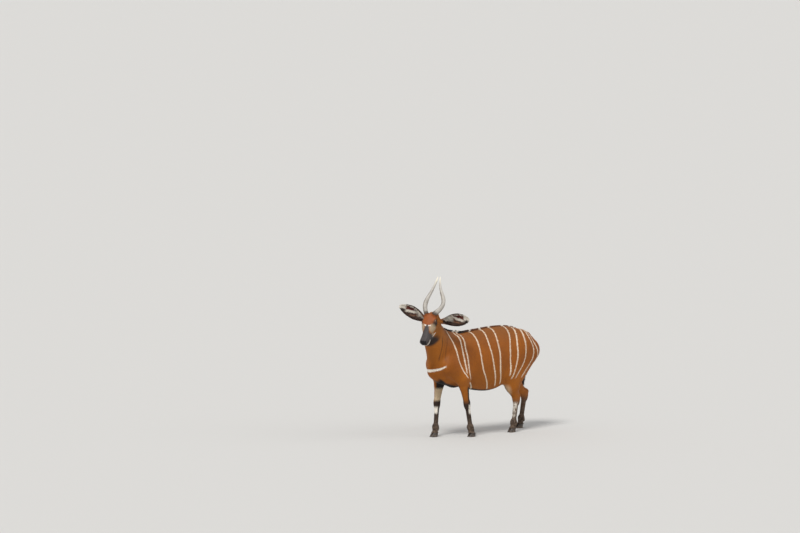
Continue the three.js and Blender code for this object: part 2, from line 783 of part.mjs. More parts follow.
// Each leg is parted from the trunk by a plane that leans away from the belly
const legCut = {
  fore_left: { at: point(-414, 0, 590), lean: 0.42 },
  fore_right: { at: point(-478, 0, 590), lean: 0.42 },
  hind_left: { at: point(258, 0, 565), lean: -0.5 },
  hind_right: { at: point(470, 0, 565), lean: -0.35 },
};
function legRegion(name, low, spread) {
  const { side, joints } = legs[name];
  const inner = 36;
  const outer = 420;
  const margin = 110;
  const from = Math.min(...Object.values(joints).map(([x]) => x)) - margin;
  const to = Math.max(...Object.values(joints).map(([x]) => x)) + margin;
  const nearest = point(from, Math.min(side * inner, side * outer), low);
  const farthest = point(to, Math.max(side * inner, side * outer), 760);
  const { at, lean } = legCut[name];
  const down = point(-lean, 0, -1).normalize();
  return block(nearest, farthest).intersect(beyond(at.clone().addScaledVector(down, -spread), down));
}

const names = Object.keys(legs);
const legNodes = names.map((name) => [name, largest(flesh.intersect(legRegion(name, hoofHeight, 0)))]);
let trunk = flesh.intersect(trunkSide).subtract(tailSolid(gap));
for (const name of names) trunk = trunk.subtract(legRegion(name, -10, gap));
trunk = largest(trunk);
const neck = largest(flesh.intersect(neckSide).intersect(bodySide));

let head = flesh.intersect(headSide);
for (const side of [1, -1]) {
  const lids = eyeBall(side, eyeRadius + 4.6, 14).subtract(lidSlit(side));
  head = head.add(lids);
  head = head.subtract(eyeBall(side, eyeRadius + gap, 14));
  head = head.subtract(mouthCut(side)).subtract(nostril(side)).subtract(hornSolid(side, gap));
}

const root = new THREE.Group();
const shades = {
  coat: [0x8a4a1c, 0.75],
  dark: [0x2c2320, 0.8],
  horn: [0x8f8576, 0.5],
  hoof: [0x3a332d, 0.55],
  eye: [0x120c08, 0.12],
};
function show(name, made, shade) {
  const mesh = made.getMesh();
  const places = [];
  for (let i = 0; i < mesh.numVert; i++) places.push(point(...mesh.vertProperties.subarray(i * mesh.numProp, i * mesh.numProp + 3)));
  const geometry = new THREE.BufferGeometry().setFromPoints(places);
  geometry.setIndex(new THREE.BufferAttribute(mesh.triVerts, 1));
  geometry.computeVertexNormals();
  const [color, roughness] = shades[shade];
  const shown = new THREE.Mesh(geometry, new THREE.MeshStandardMaterial({ color, roughness, metalness: 0 }));
  shown.name = name;
  root.add(shown);
}

for (const [word, side] of [["left", 1], ["right", -1]]) {
  const frame = earFrame(side);
  const ear = largest(earSolid(side, 0).add(wasm.Manifold.union(earFringe(frame))));
  const socket = beyond(frame.root.clone().addScaledVector(frame.along, 14), frame.along);
  const bare = beyond(frame.root.clone().addScaledVector(frame.along, 14 + gap), frame.along.clone().negate());
  const reach = new THREE.SphereGeometry(70, 16, 10);
  reach.translate(frame.root.x, frame.root.y, frame.root.z);
  head = head.subtract(socket.intersect(solid(reach))).subtract(earSolid(side, gap * 2).intersect(socket));
  show(`ear_${word}`, largest(ear.subtract(bare)), "coat");
  show(`horn_${word}`, hornSolid(side, 0), "horn");
  show(`eye_${word}`, eyeBall(side, eyeRadius, 14), "eye");
}
show("head", largest(head), "coat");
show("neck", neck, "coat");
show("torso", trunk, "coat");
for (const [name, made] of legNodes) {
  show(`leg_${name}`, made, "coat");
  const toe = jointPoint(legs[name], "toe");
  show(`hoof_${name}_inner`, hoof(toe, -legs[name].side), "hoof");
  show(`hoof_${name}_outer`, hoof(toe, legs[name].side), "hoof");
}
show("tail", largest(tailSolid(0).add(wasm.Manifold.union(tailTuft()))), "coat");

// The origin goes to the middle of the whole model's box, at floor height
const whole = new THREE.Box3().setFromObject(root);
const shift = whole.getCenter(point(0, 0, 0)).setZ(whole.min.z).negate();
for (const mesh of root.children) mesh.geometry.translate(shift.x, shift.y, shift.z);

export default root;
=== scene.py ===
import json
import math

import bpy
import numpy as np
from mathutils import Matrix, Vector

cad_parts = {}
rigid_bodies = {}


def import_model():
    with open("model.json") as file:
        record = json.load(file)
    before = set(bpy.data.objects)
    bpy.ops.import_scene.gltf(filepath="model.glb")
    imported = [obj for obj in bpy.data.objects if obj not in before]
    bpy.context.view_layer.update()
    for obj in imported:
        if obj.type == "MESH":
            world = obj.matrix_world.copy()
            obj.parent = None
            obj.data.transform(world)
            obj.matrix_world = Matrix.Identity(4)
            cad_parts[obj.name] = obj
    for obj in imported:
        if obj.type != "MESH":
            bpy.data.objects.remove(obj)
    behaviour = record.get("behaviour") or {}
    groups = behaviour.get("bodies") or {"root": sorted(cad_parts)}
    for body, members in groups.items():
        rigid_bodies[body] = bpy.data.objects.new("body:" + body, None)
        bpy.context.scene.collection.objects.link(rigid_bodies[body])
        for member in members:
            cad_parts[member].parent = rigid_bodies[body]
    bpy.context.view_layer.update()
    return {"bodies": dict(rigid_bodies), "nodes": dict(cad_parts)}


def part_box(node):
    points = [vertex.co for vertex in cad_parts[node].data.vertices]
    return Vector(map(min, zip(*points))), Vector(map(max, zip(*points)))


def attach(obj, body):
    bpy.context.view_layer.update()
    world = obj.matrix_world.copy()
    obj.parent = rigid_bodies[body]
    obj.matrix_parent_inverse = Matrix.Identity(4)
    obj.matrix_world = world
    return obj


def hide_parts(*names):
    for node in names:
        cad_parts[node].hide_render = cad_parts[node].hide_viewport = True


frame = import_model()
nodes = frame["nodes"]
body = sorted(frame["bodies"])[0]
dice = np.random.default_rng(11)
print("frame loaded")


# --- the animal's own measures, in millimetres, as its solids have them ---
pose = {
    "headTurn": math.radians(26),
    "facePitch": math.radians(48),
    "forehead": (-838, -92, 1370),
    "browPlace": 60,
    "eyePlace": (136, 68, -40),
    "eyeRadius": 20,
    "headLength": 405,
    "bodyLength": 1490,
    "backHeight": 1170,
    "bellyWidth": 446,
}
noseWay = np.array([
    -math.cos(pose["headTurn"]) * math.cos(pose["facePitch"]),
    -math.sin(pose["headTurn"]) * math.cos(pose["facePitch"]),
    -math.sin(pose["facePitch"]),
])
headLeft = np.array([math.sin(pose["headTurn"]), -math.cos(pose["headTurn"]), 0.0])
faceUp = np.cross(noseWay, headLeft)
headAxes = np.stack([noseWay, headLeft, faceUp])
headOrigin = np.array(pose["forehead"], float) - pose["browPlace"] * noseWay


def fromHead(p):
    return headOrigin + np.asarray(p, float) @ headAxes


def toHead(p):
    return (p - headOrigin) @ headAxes.T


eyeBox = np.array(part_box("eye_left")) * 1000
originShift = eyeBox.mean(0) - fromHead(pose["eyePlace"])  # from the shape's own origin to the frame's


def toFrame(p):
    return (np.asarray(p, float) + originShift) / 1000


def fromFrame(p):
    return np.asarray(p, float) * 1000 - originShift


# --- smooth forms: negative inside, positive outside ---
def through(pairs):
    xs = np.array([pair[0] for pair in pairs], float)
    ys = np.array([pair[1] for pair in pairs], float)
    before = np.maximum(np.arange(len(xs)) - 1, 0)
    after = np.minimum(np.arange(len(xs)) + 1, len(xs) - 1)
    slope = (ys[after] - ys[before]) / (xs[after] - xs[before])

    def at(x):
        x = np.clip(x, xs[0], xs[-1])
        i = np.clip(np.searchsorted(xs, x) - 1, 0, len(xs) - 2)
        width = xs[i + 1] - xs[i]
        t = (x - xs[i]) / width
        u = 1 - t
        bend = t * u * width * (u * slope[i] - t * slope[i + 1])
        return u * u * (1 + 2 * t) * ys[i] + t * t * (3 - 2 * t) * ys[i + 1] + bend

    return at


def limb(a, b, radiusA, radiusB, flat=1.0):
    start = np.array([a[0], a[1] * flat, a[2]], float)
    along = np.array([b[0], b[1] * flat, b[2]], float) - start

    def at(p):
        d = p * np.array([1, flat, 1]) - start
        t = np.clip(d @ along / (along @ along), 0, 1)
        return np.linalg.norm(d - t[:, None] * along, axis=1) - (radiusA + (radiusB - radiusA) * t)

    return at


def swelling(centre, rx, ry, rz):
    size = np.array([rx, ry, rz], float)

    def at(p):
        return (np.linalg.norm((p - np.array(centre, float)) / size, axis=1) - 1) * size.min()

    return at


def barrel(top, bottom, half, start, end, widest, square):
    def at(p):
        high = top(p[:, 0])
        low = bottom(p[:, 0])
        middle = low + (high - low) * widest
        tall = np.where(p[:, 2] > middle, high - middle, middle - low)
        wide = half(p[:, 0])
        reach = (np.abs(p[:, 1] / wide) ** square + np.abs((p[:, 2] - middle) / tall) ** square) ** (1 / square)
        return np.maximum((reach - 1) * np.minimum(wide, tall), np.maximum(start - p[:, 0], p[:, 0] - end))

    return at


def blend(fields, softness):
    def at(p):
        least = fields[0](p)
        for field in fields[1:]:
            other = field(p)
            near = np.maximum(softness - np.abs(least - other), 0) / softness
            least = np.minimum(least, other) - near * near * softness * 0.25
        return least

    return at


def lerp(a, b, t):
    return np.asarray(a, float) + (np.asarray(b, float) - np.asarray(a, float)) * t


def smooth(value, start, end):
    t = np.clip((value - start) / (end - start), 0, 1)
    return t * t * (3 - 2 * t)


bodySize, backSize, bellySize = pose["bodyLength"], pose["backHeight"], pose["bellyWidth"] / 2
trunkTop = through([(x * bodySize, z * backSize) for x, z in
    [(-0.4, 0.965), (-0.27, 0.966), (-0.12, 0.98), (0.06, 1.0), (0.22, 0.998), (0.34, 0.965), (0.43, 0.9)]])
trunkBottom = through([(x * bodySize, z * backSize) for x, z in
    [(-0.4, 0.56), (-0.28, 0.492), (-0.17, 0.44), (-0.02, 0.404), (0.08, 0.408), (0.17, 0.446), (0.28, 0.53), (0.43, 0.62)]])
trunkHalf = through([(x * bodySize, y * bellySize) for x, y in
    [(-0.4, 0.66), (-0.28, 0.82), (-0.12, 0.97), (0.02, 1.0), (0.16, 0.97), (0.3, 0.85), (0.43, 0.68)]])
legs = {
    "fore_left": {"side": -1, "upper": (-414, 655, 152), "mid": (-345, 365, 140), "fetlock": (-290, 108, 132), "toe": (-262, 0, 130)},
    "fore_right": {"side": 1, "upper": (-478, 655, 152), "mid": (-534, 365, 140), "fetlock": (-562, 108, 132), "toe": (-580, 0, 130)},
    "hind_left": {"side": -1, "upper": (258, 672, 150), "mid": (392, 362, 126), "fetlock": (358, 110, 122), "toe": (338, 0, 120)},
    "hind_right": {"side": 1, "upper": (470, 640, 148), "mid": (742, 362, 126), "fetlock": (692, 110, 122), "toe": (666, 0, 120)},
}


def jointPoint(name, joint):
    x, z, y = legs[name][joint]
    return np.array([x, legs[name]["side"] * y, z], float)


def shoulderMass(name):
    elbow, side = jointPoint(name, "upper"), legs[name]["side"]
    tip = (-572, side * 126, 800)
    return [
        limb((-415, side * 78, 1035), tip, 66, 92, 1.45),
        limb(tip, elbow, 94, 74, 1.3),
        limb((-360, side * 118, 850), elbow, 82, 70, 1.35),
    ]


def thighMass(name):
    stifle, hock, side = jointPoint(name, "upper"), jointPoint(name, "mid"), legs[name]["side"]
    hip, seat = (470, side * 94, 960), (632, side * 80, 880)
    calf = lerp(stifle, hock, 0.4)
    return [
        limb(hip, stifle, 150, 98, 1.35),
        limb(seat, calf + [34, 0, 0], 108, 70, 1.3),
        limb(hip, seat, 124, 106, 1.3),
        limb((500, side * 100, 820), calf, 120, 74, 1.35),
    ]


def legForm(name):
    upper, mid, fetlock, toe = [jointPoint(name, joint) for joint in ("upper", "mid", "fetlock", "toe")]
    fore = name.startswith("fore")
    coronet = lerp(fetlock, toe, 0.62)
    forms = [
        limb(lerp(mid, fetlock, 0.12), fetlock, 25 if fore else 28, 22 if fore else 24, 1.0 if fore else 1.1),
        limb(lerp(mid, fetlock, 0.15) + [15, 0, 0], fetlock + [12, 0, 6], 12, 12),
        swelling(fetlock, 32, 28, 31),
        limb(fetlock, coronet, 27, 27, 0.92),
        swelling(coronet + [2, 0, -4], 38, 36, 22),
    ]
    if fore:
        belly = lerp(upper, mid, 0.3)
        forms += [
            limb(upper, belly, 76, 58, 1.25),
            limb(belly, lerp(mid, upper, 0.12), 58, 36, 1.15),
            swelling(mid, 40, 35, 50),
            swelling(upper + [46, 0, 10], 38, 30, 46),
        ]
    else:
        calf, heel = lerp(upper, mid, 0.52), mid + [34, 0, 40]
        forms += [
            limb(upper, calf, 100, 84, 1.35),
            limb(calf, lerp(mid, upper, 0.1), 84, 42, 1.3),
            swelling(mid, 44, 32, 54),
            limb(heel, mid + [12, 0, -40], 21, 20),
            limb(calf + [58, 0, -6], heel, 17, 14),
        ]
    for way in (1, -1):
        root = fetlock + [22, way * 13, -16]
        forms.append(limb(root, root + [17, way * 3, -20], 9, 6))
    return blend(forms + (shoulderMass(name) if fore else thighMass(name)), 26)


tailPath = [(668, 0, 1020), (728, 4, 1000), (772, 40, 925), (788, 105, 820), (788, 162, 718), (780, 196, 620), (776, 210, 523)]
tailGirth = [27, 24, 19, 15, 14, 14, 9]
tailForm = blend([limb(tailPath[i], tailPath[i + 1], tailGirth[i], tailGirth[i + 1]) for i in range(6)], 10)
trunkForm = blend(
    [
        barrel(trunkTop, trunkBottom, trunkHalf, -0.41 * bodySize, 0.43 * bodySize, 0.46, 2.15),
        swelling((-590, 0, 815), 152, 142, 205),
        limb((-692, 0, 738), (-430, 0, 634), 82, 94, 1.1),
        limb((-525, 0, 915), (-822, -82, 1232), 205, 98, 1.45),
        limb((-628, 0, 890), (-812, -66, 1110), 134, 84, 1.2),
        limb((-420, 0, 1092), (-600, -8, 1126), 42, 42, 1.3),
        limb((-600, -8, 1126), (-812, -80, 1318), 42, 40, 1.3),
        swelling((640, 0, 955), 92, 95, 120),
    ]
    + shoulderMass("fore_left") + shoulderMass("fore_right") + thighMass("hind_left") + thighMass("hind_right"),
    62,
)
faceTop = through([(-30, -52), (25, -15), (70, 3), (130, 0), (200, -8), (270, -16), (330, -22), (365, -27), (394, -44), (406, -62)])
faceBottom = through([(-30, -120), (20, -168), (75, -188), (130, -184), (200, -166), (270, -146), (330, -128), (368, -112), (394, -92), (406, -78)])
faceHalf = through([(-30, 52), (20, 66), (80, 71), (135, 66), (200, 56), (270, 48), (330, 46), (368, 43), (394, 31), (406, 12)])


def headForms():
    forms = [barrel(faceTop, faceBottom, faceHalf, -30, 406, 0.6, 2.3)]
    for side in (1, -1):
        forms += [
            swelling((132, side * 60, -30), 40, 26, 27),
            swelling((92, side * 46, -128), 62, 27, 56),
            limb((172, side * 56, -78), (40, side * 62, -82), 17, 20),
            limb((62, side * 52, -114), (54, side * 92, -120), 32, 26),
            limb((66, side * 42, -28), (52, side * 48, -2), 34, 31),
            swelling((348, side * 28, -76), 46, 22, 28),
            swelling((376, side * 18, -44), 26, 19, 19),
        ]
    forms += [swelling((336, 0, -116), 50, 32, 18), swelling((382, 0, -60), 26, 33, 28)]
    return forms


faceForm = blend(headForms(), 24)
legForms = [legForm(name) for name in legs]
wholeForm = blend([blend([trunkForm, lambda p: faceForm(toHead(p))], 46)] + legForms, 36)


def bodyForm(p):
    depth = coatDepth(p)
    return np.minimum(wholeForm(p), tailForm(p)) + depth


coat = {"bodyDepth": 5.0, "faceDepth": 2.2, "shinDepth": 2.0, "voxel": 0.0088}


def coatDepth(p):
    h = toHead(p)
    face = smooth(h[:, 0], 40, 160) * (np.abs(h[:, 1]) < 110) * (h[:, 0] < 430) * (h[:, 2] > -230)
    low = 1 - smooth(p[:, 2], 330, 620)
    depth = coat["bodyDepth"] + (coat["shinDepth"] - coat["bodyDepth"]) * low
    return depth + (coat["faceDepth"] - depth) * face


def gradient(form, p, step=0.8):
    base = form(p)
    slope = np.stack([form(p + step * np.eye(3)[k]) - base for k in range(3)], 1) / step
    return base, slope


def settle(p, form, rounds):
    for _ in range(rounds):
        base, slope = gradient(form, p)
        size = np.maximum((slope ** 2).sum(1), 0.05)
        p = p - np.clip(base / size, -14, 14)[:, None] * slope
    return p


# --- mesh helpers ---
def onlySelect(*objects):
    for o in bpy.context.view_layer.objects:
        o.select_set(False)
    for o in objects:
        o.select_set(True)
    bpy.context.view_layer.objects.active = objects[0]


def readPlaces(obj):
    places = np.zeros(len(obj.data.vertices) * 3)
    obj.data.vertices.foreach_get("co", places)
    return places.reshape(-1, 3)


def writePlaces(obj, places):
    obj.data.vertices.foreach_set("co", places.astype(np.float32).ravel())
    obj.data.update()


def applied(obj, kind, **values):
    onlySelect(obj)
    modifier = obj.modifiers.new(kind.lower(), kind)
    for name, value in values.items():
        setattr(modifier, name, value)
    bpy.ops.object.modifier_apply(modifier=modifier.name)


def meshObject(name, places, faces, smoothShade=True):
    mesh = bpy.data.meshes.new(name)
    faces = np.asarray(faces)
    count, corners = faces.shape
    mesh.vertices.add(len(places))
    mesh.vertices.foreach_set("co", np.asarray(places, np.float32).ravel())
    mesh.loops.add(count * corners)
    mesh.loops.foreach_set("vertex_index", faces.astype(np.int32).ravel())
    mesh.polygons.add(count)
    mesh.polygons.foreach_set("loop_start", np.arange(count, dtype=np.int32) * corners)
    mesh.polygons.foreach_set("use_smooth", np.full(count, smoothShade))
    mesh.update(calc_edges=True)
    obj = bpy.data.objects.new(name, mesh)
    bpy.context.scene.collection.objects.link(obj)
    return obj


def storeVector(mesh, name, values):
    field = mesh.attributes.new(name, "FLOAT_VECTOR", "POINT")
    field.data.foreach_set("vector", np.asarray(values, np.float32).ravel())


def storeNumber(mesh, name, values):
    field = mesh.attributes.new(name, "FLOAT", "POINT")
    field.data.foreach_set("value", np.asarray(values, np.float32).ravel())


# --- the skin: the flesh solids in one, made smooth ---
fleshNames = ["torso", "neck", "head", "tail"] + ["leg_" + name for name in legs]
copies = []
for name in fleshNames + ["eye_left", "eye_right"]:
    copy = bpy.data.objects.new("copy_" + name, nodes[name].data.copy())
    bpy.context.scene.collection.objects.link(copy)
    copies.append(copy)
onlySelect(*copies)
bpy.ops.object.join()
skin = copies[0]
skin.name = "skin"
skin.data.name = "skin"
bpy.ops.object.mode_set(mode="EDIT")
bpy.ops.mesh.select_all(action="SELECT")
bpy.ops.mesh.remove_doubles(threshold=0.00002)
bpy.ops.object.mode_set(mode="OBJECT")
applied(skin, "REMESH", mode="VOXEL", voxel_size=coat["voxel"], adaptivity=0.0)
applied(skin, "SMOOTH", factor=0.6, iterations=14)
print("skin remeshed", len(skin.data.polygons))
places = settle(fromFrame(readPlaces(skin)), bodyForm, 4)
writePlaces(skin, toFrame(places))
applied(skin, "SMOOTH", factor=0.5, iterations=2)
places = settle(fromFrame(readPlaces(skin)), bodyForm, 2)
writePlaces(skin, toFrame(places))


def subdivideWhere(obj, test, cuts=1):
    onlySelect(obj)
    mesh = obj.data
    count = len(mesh.polygons)
    centres = np.zeros(count * 3)
    mesh.polygons.foreach_get("center", centres)
    chosen = test(fromFrame(centres.reshape(-1, 3)))
    mesh.polygons.foreach_set("select", chosen)
    mesh.vertices.foreach_set("select", np.zeros(len(mesh.vertices), bool))
    mesh.edges.foreach_set("select", np.zeros(len(mesh.edges), bool))
    bpy.context.tool_settings.mesh_select_mode = (False, False, True)
    bpy.ops.object.mode_set(mode="EDIT")
    bpy.ops.mesh.subdivide(number_cuts=cuts, quadcorner="INNERVERT")
    bpy.ops.object.mode_set(mode="OBJECT")


def isHead(p):
    h = toHead(p)
    return (h[:, 0] > -10) & (h[:, 0] < 430) & (np.abs(h[:, 1]) < 118) & (h[:, 2] > -205) & (h[:, 2] < 60)


def isFaceDetail(p):
    h = toHead(p)
    near = np.zeros(len(h), bool)
    for side in (1, -1):
        eye = np.array(pose["eyePlace"]) * [1, side, 1]
        near |= np.linalg.norm(h - eye, axis=1) < 42
    return near | ((h[:, 0] > 318) & (h[:, 0] < 430) & (np.abs(h[:, 1]) < 80) & (h[:, 2] > -150))


subdivideWhere(skin, isHead)
writePlaces(skin, toFrame(settle(fromFrame(readPlaces(skin)), bodyForm, 2)))
subdivideWhere(skin, isFaceDetail)
writePlaces(skin, toFrame(settle(fromFrame(readPlaces(skin)), bodyForm, 2)))
print("skin settled", len(skin.data.polygons))

lids = {"thickness": 2.6, "inside": 15.5, "near": 7.0, "far": 20.0}
mouth = {"depth": 3.4, "width": 2.6, "corner": 262}


def eyeAxes(side):
    out = np.array([0.54, side * 0.8, 0.22])
    out /= np.linalg.norm(out)
    forward = np.array([1.0, 0, 0]) - out[0] * out
    forward /= np.linalg.norm(forward)
    up = np.cross(forward, out) * (-side)
    if up[2] < 0:
        up = -up
    return out, forward, up


def lidGap(a, b):
    t = np.clip((a + 20) / 41, 0, 1)
    upper = (1 - t) ** 2 * 3 + 2 * t * (1 - t) * 25 + t * t * -5
    lower = (1 - t) ** 2 * 3 + 2 * t * (1 - t) * -19 + t * t * -5
    gap = np.maximum(lower - b, b - upper)
    return np.maximum(gap, np.maximum(-(a + 20), a - 21))


mouthLine = through([(262, -92), (300, -94), (345, -91), (380, -87), (410, -86)])


def carveHead(p, normals):
    h = toHead(p)
    n = normals @ headAxes.T
    onHead = isHead(p)
    moved = h.copy()
    for side in (1, -1):
        eye = np.array(pose["eyePlace"], float) * [1, side, 1]
        out, forward, up = eyeAxes(side)
        d = moved - eye
        r = np.linalg.norm(d, axis=1)
        c = d @ out
        gap = lidGap(d @ forward, d @ up)
        near = (r < 46) & (c > -4) & onHead
        share = (1 - smooth(gap, lids["near"], lids["far"])) * smooth(c, -4, 6)
        lidR = pose["eyeRadius"] + 0.5 + lids["thickness"] * (1 - np.exp(-np.maximum(gap, 0) / 1.3))
        lidR = lidR - 1.5 * np.exp(-((gap - 7) / 2.2) ** 2) * (d @ up > 0)
        target = np.where(gap < 0, lids["inside"], lidR)
        newR = r + (target - r) * share
        moved = np.where(near[:, None], eye + d / np.maximum(r, 1e-6)[:, None] * newR[:, None], moved)
    # nostrils: a comma-shaped hollow with a raised rim
    for side in (1, -1):
        d = h - np.array([389, side * 23, -50])
        turn = side * 0.62
        a = d[:, 1] * math.cos(turn) + d[:, 0] * math.sin(turn)
        b = d[:, 2] + 0.25 * d[:, 1] * side
        q = (a / 10.5) ** 2 + (b / 5.6) ** 2
        close = (np.linalg.norm(d, axis=1) < 26) & onHead & (n[:, 0] > -0.2)
        deep = -8.5 * np.exp(-q ** 2) + 1.3 * np.exp(-((np.sqrt(q) - 1.75) / 0.4) ** 2)
        moved = moved + n * (deep * close)[:, None]
    # mouth line, lips and the groove below the nose
    line = h[:, 2] - mouthLine(h[:, 0])
    along = smooth(h[:, 0], mouth["corner"], mouth["corner"] + 16) * onHead * (h[:, 2] > -140)
    lip = -mouth["depth"] * np.exp(-(line / mouth["width"]) ** 2)
    lip += 1.1 * np.exp(-((line - 7) / 4.5) ** 2) + 0.9 * np.exp(-((line + 7) / 4.5) ** 2)
    moved = moved + n * (lip * along)[:, None]
    groove = -1.6 * np.exp(-(h[:, 1] / 2.2) ** 2) * smooth(h[:, 0], 385, 398) * (h[:, 2] < -52) * (h[:, 2] > -86)
    return np.where(onHead[:, None], fromHead(moved + n * groove[:, None]), p)


def foldBody(p, normals):
    neckFold = sum(
        -3.2 * np.exp(-((p[:, 0] - x - 0.12 * (p[:, 2] - 1000)) / 7) ** 2) for x in (-676, -648, -706)
    ) * smooth(p[:, 2], 860, 940) * (1 - smooth(p[:, 2], 1120, 1190)) * smooth(np.abs(p[:, 1] + 20), 60, 110)
    ribs = 1.1 * np.sin(p[:, 0] / 13) * smooth(p[:, 0], -250, -120) * (1 - smooth(p[:, 0], 60, 200))
    ribs *= smooth(p[:, 2], 560, 700) * (1 - smooth(p[:, 2], 900, 1000))
    tendon = 0.0
    return p + normals * (neckFold + ribs + tendon)[:, None] * (np.abs(normals[:, 1:2]) > 0.3)


normals = gradient(bodyForm, places := fromFrame(readPlaces(skin)))[1]
normals /= np.maximum(np.linalg.norm(normals, axis=1), 1e-6)[:, None]
places = carveHead(places, normals)
places = foldBody(places, normals)
writePlaces(skin, toFrame(places))
onlySelect(skin)
bpy.ops.object.shade_smooth()
print("skin carved")

# --- unwrap of the skin, and the fields that its material and its tufts read ---
onlySelect(skin)
bpy.ops.object.mode_set(mode="EDIT")
bpy.ops.mesh.select_all(action="SELECT")
bpy.ops.uv.smart_project(angle_limit=math.radians(72), island_margin=0.001)
bpy.ops.object.mode_set(mode="OBJECT")
skin.data.uv_layers[0].name = "OFBake"
storeVector(skin.data, "root", readPlaces(skin))
storeNumber(skin.data, "shade", np.full(len(skin.data.vertices), 0.45))
print("skin unwrapped")


def skinSamples(obj, count, weightOf):
    mesh = obj.data
    mesh.calc_loop_triangles()
    total = len(mesh.loop_triangles)
    corner = np.zeros(total * 3, np.int32)
    loops = np.zeros(total * 3, np.int32)
    mesh.loop_triangles.foreach_get("vertices", corner)
    mesh.loop_triangles.foreach_get("loops", loops)
    corner, loops = corner.reshape(-1, 3), loops.reshape(-1, 3)
    places = readPlaces(obj)
    vertexNormals = np.zeros(len(places) * 3)
    mesh.vertices.foreach_get("normal", vertexNormals)
    vertexNormals = vertexNormals.reshape(-1, 3)
    uv = np.zeros(len(mesh.loops) * 2)
    mesh.uv_layers["OFBake"].data.foreach_get("uv", uv)
    uv = uv.reshape(-1, 2)
    a, b, c = [places[corner[:, k]] for k in range(3)]
    area = np.linalg.norm(np.cross(b - a, c - a), axis=1) / 2
    weight = area * weightOf(fromFrame((a + b + c) / 3))
    sums = np.cumsum(weight)
    pick = np.searchsorted(sums, (np.arange(count) + dice.random(count)) / count * sums[-1])
    pick = np.clip(pick, 0, total - 1)
    r1, r2 = np.sqrt(dice.random(count)), dice.random(count)
    share = np.stack([1 - r1, r1 * (1 - r2), r1 * r2], 1)
    mixed = lambda values, index: np.einsum("nk,nkd->nd", share, values[index[pick]])
    n = mixed(vertexNormals, corner)
    n /= np.linalg.norm(n, axis=1)[:, None]
    return mixed(places, corner), n, mixed(uv, loops)


def lieOf(p):
    h = toHead(p)
    way = np.tile(np.array([1.0, 0, -0.28]), (len(p), 1))
    neck = smooth(-p[:, 0], 500, 640) * smooth(p[:, 2], 640, 760)
    way = way + neck[:, None] * (np.array([0.62, 0.08, -0.78]) - way)
    low = 1 - smooth(p[:, 2], 520, 660)
    way = way + low[:, None] * (np.array([0.12, 0, -1.0]) - way)
    face = smooth(h[:, 0], -20, 40) * (np.abs(h[:, 1]) < 130) * (h[:, 2] > -230) * (h[:, 0] < 430)
    faceWay = -noseWay - 0.25 * faceUp
    way = way + face[:, None] * (faceWay - way)
    return way


def flatTo(way, n):
    way = way - (way * n).sum(1)[:, None] * n
    return way / np.maximum(np.linalg.norm(way, axis=1), 1e-6)[:, None]


def growTufts(name, root, n, uv, way, length, width, lift):
    count = len(root)
    way = flatTo(way + dice.normal(0, 0.16, (count, 3)), n)
    side = np.cross(n, way)
    size = 1 + dice.uniform(-0.25, 0.25, count)
    length, width, lift = [np.asarray(value * size)[:, None] / 1000 for value in (length, width, lift)]
    left = root + side * width / 2 - n * 0.0007
    right = root - side * width / 2 - n * 0.0007
    under = root - way * width * 0.2 - n * 0.0022
    tip = root + way * length + n * lift
    places = np.stack([left, right, tip, under], 1).reshape(-1, 3)
    base = (np.arange(count) * 4)[:, None]
    pattern = np.array([0, 1, 2, 0, 2, 3, 1, 3, 2, 0, 3, 1])
    faces = (base + pattern).reshape(-1, 3)
    obj = meshObject(name, places, faces, smoothShade=False)
    patch = np.array([[-0.0015, 0], [0.0015, 0], [0, 0.0015], [0, -0.0015]])
    uvs = (uv[:, None, :] + patch).reshape(-1, 2)[faces.ravel()]
    obj.data.uv_layers.new(name="OFBake").data.foreach_set("uv", uvs.astype(np.float32).ravel())
    storeVector(obj.data, "root", np.repeat(root, 4, axis=0))
    shade = dice.uniform(0.25, 0.75, count)[:, None] + np.array([-0.05, -0.05, 0.12, -0.3])
    storeNumber(obj.data, "shade", shade.ravel())
    return obj


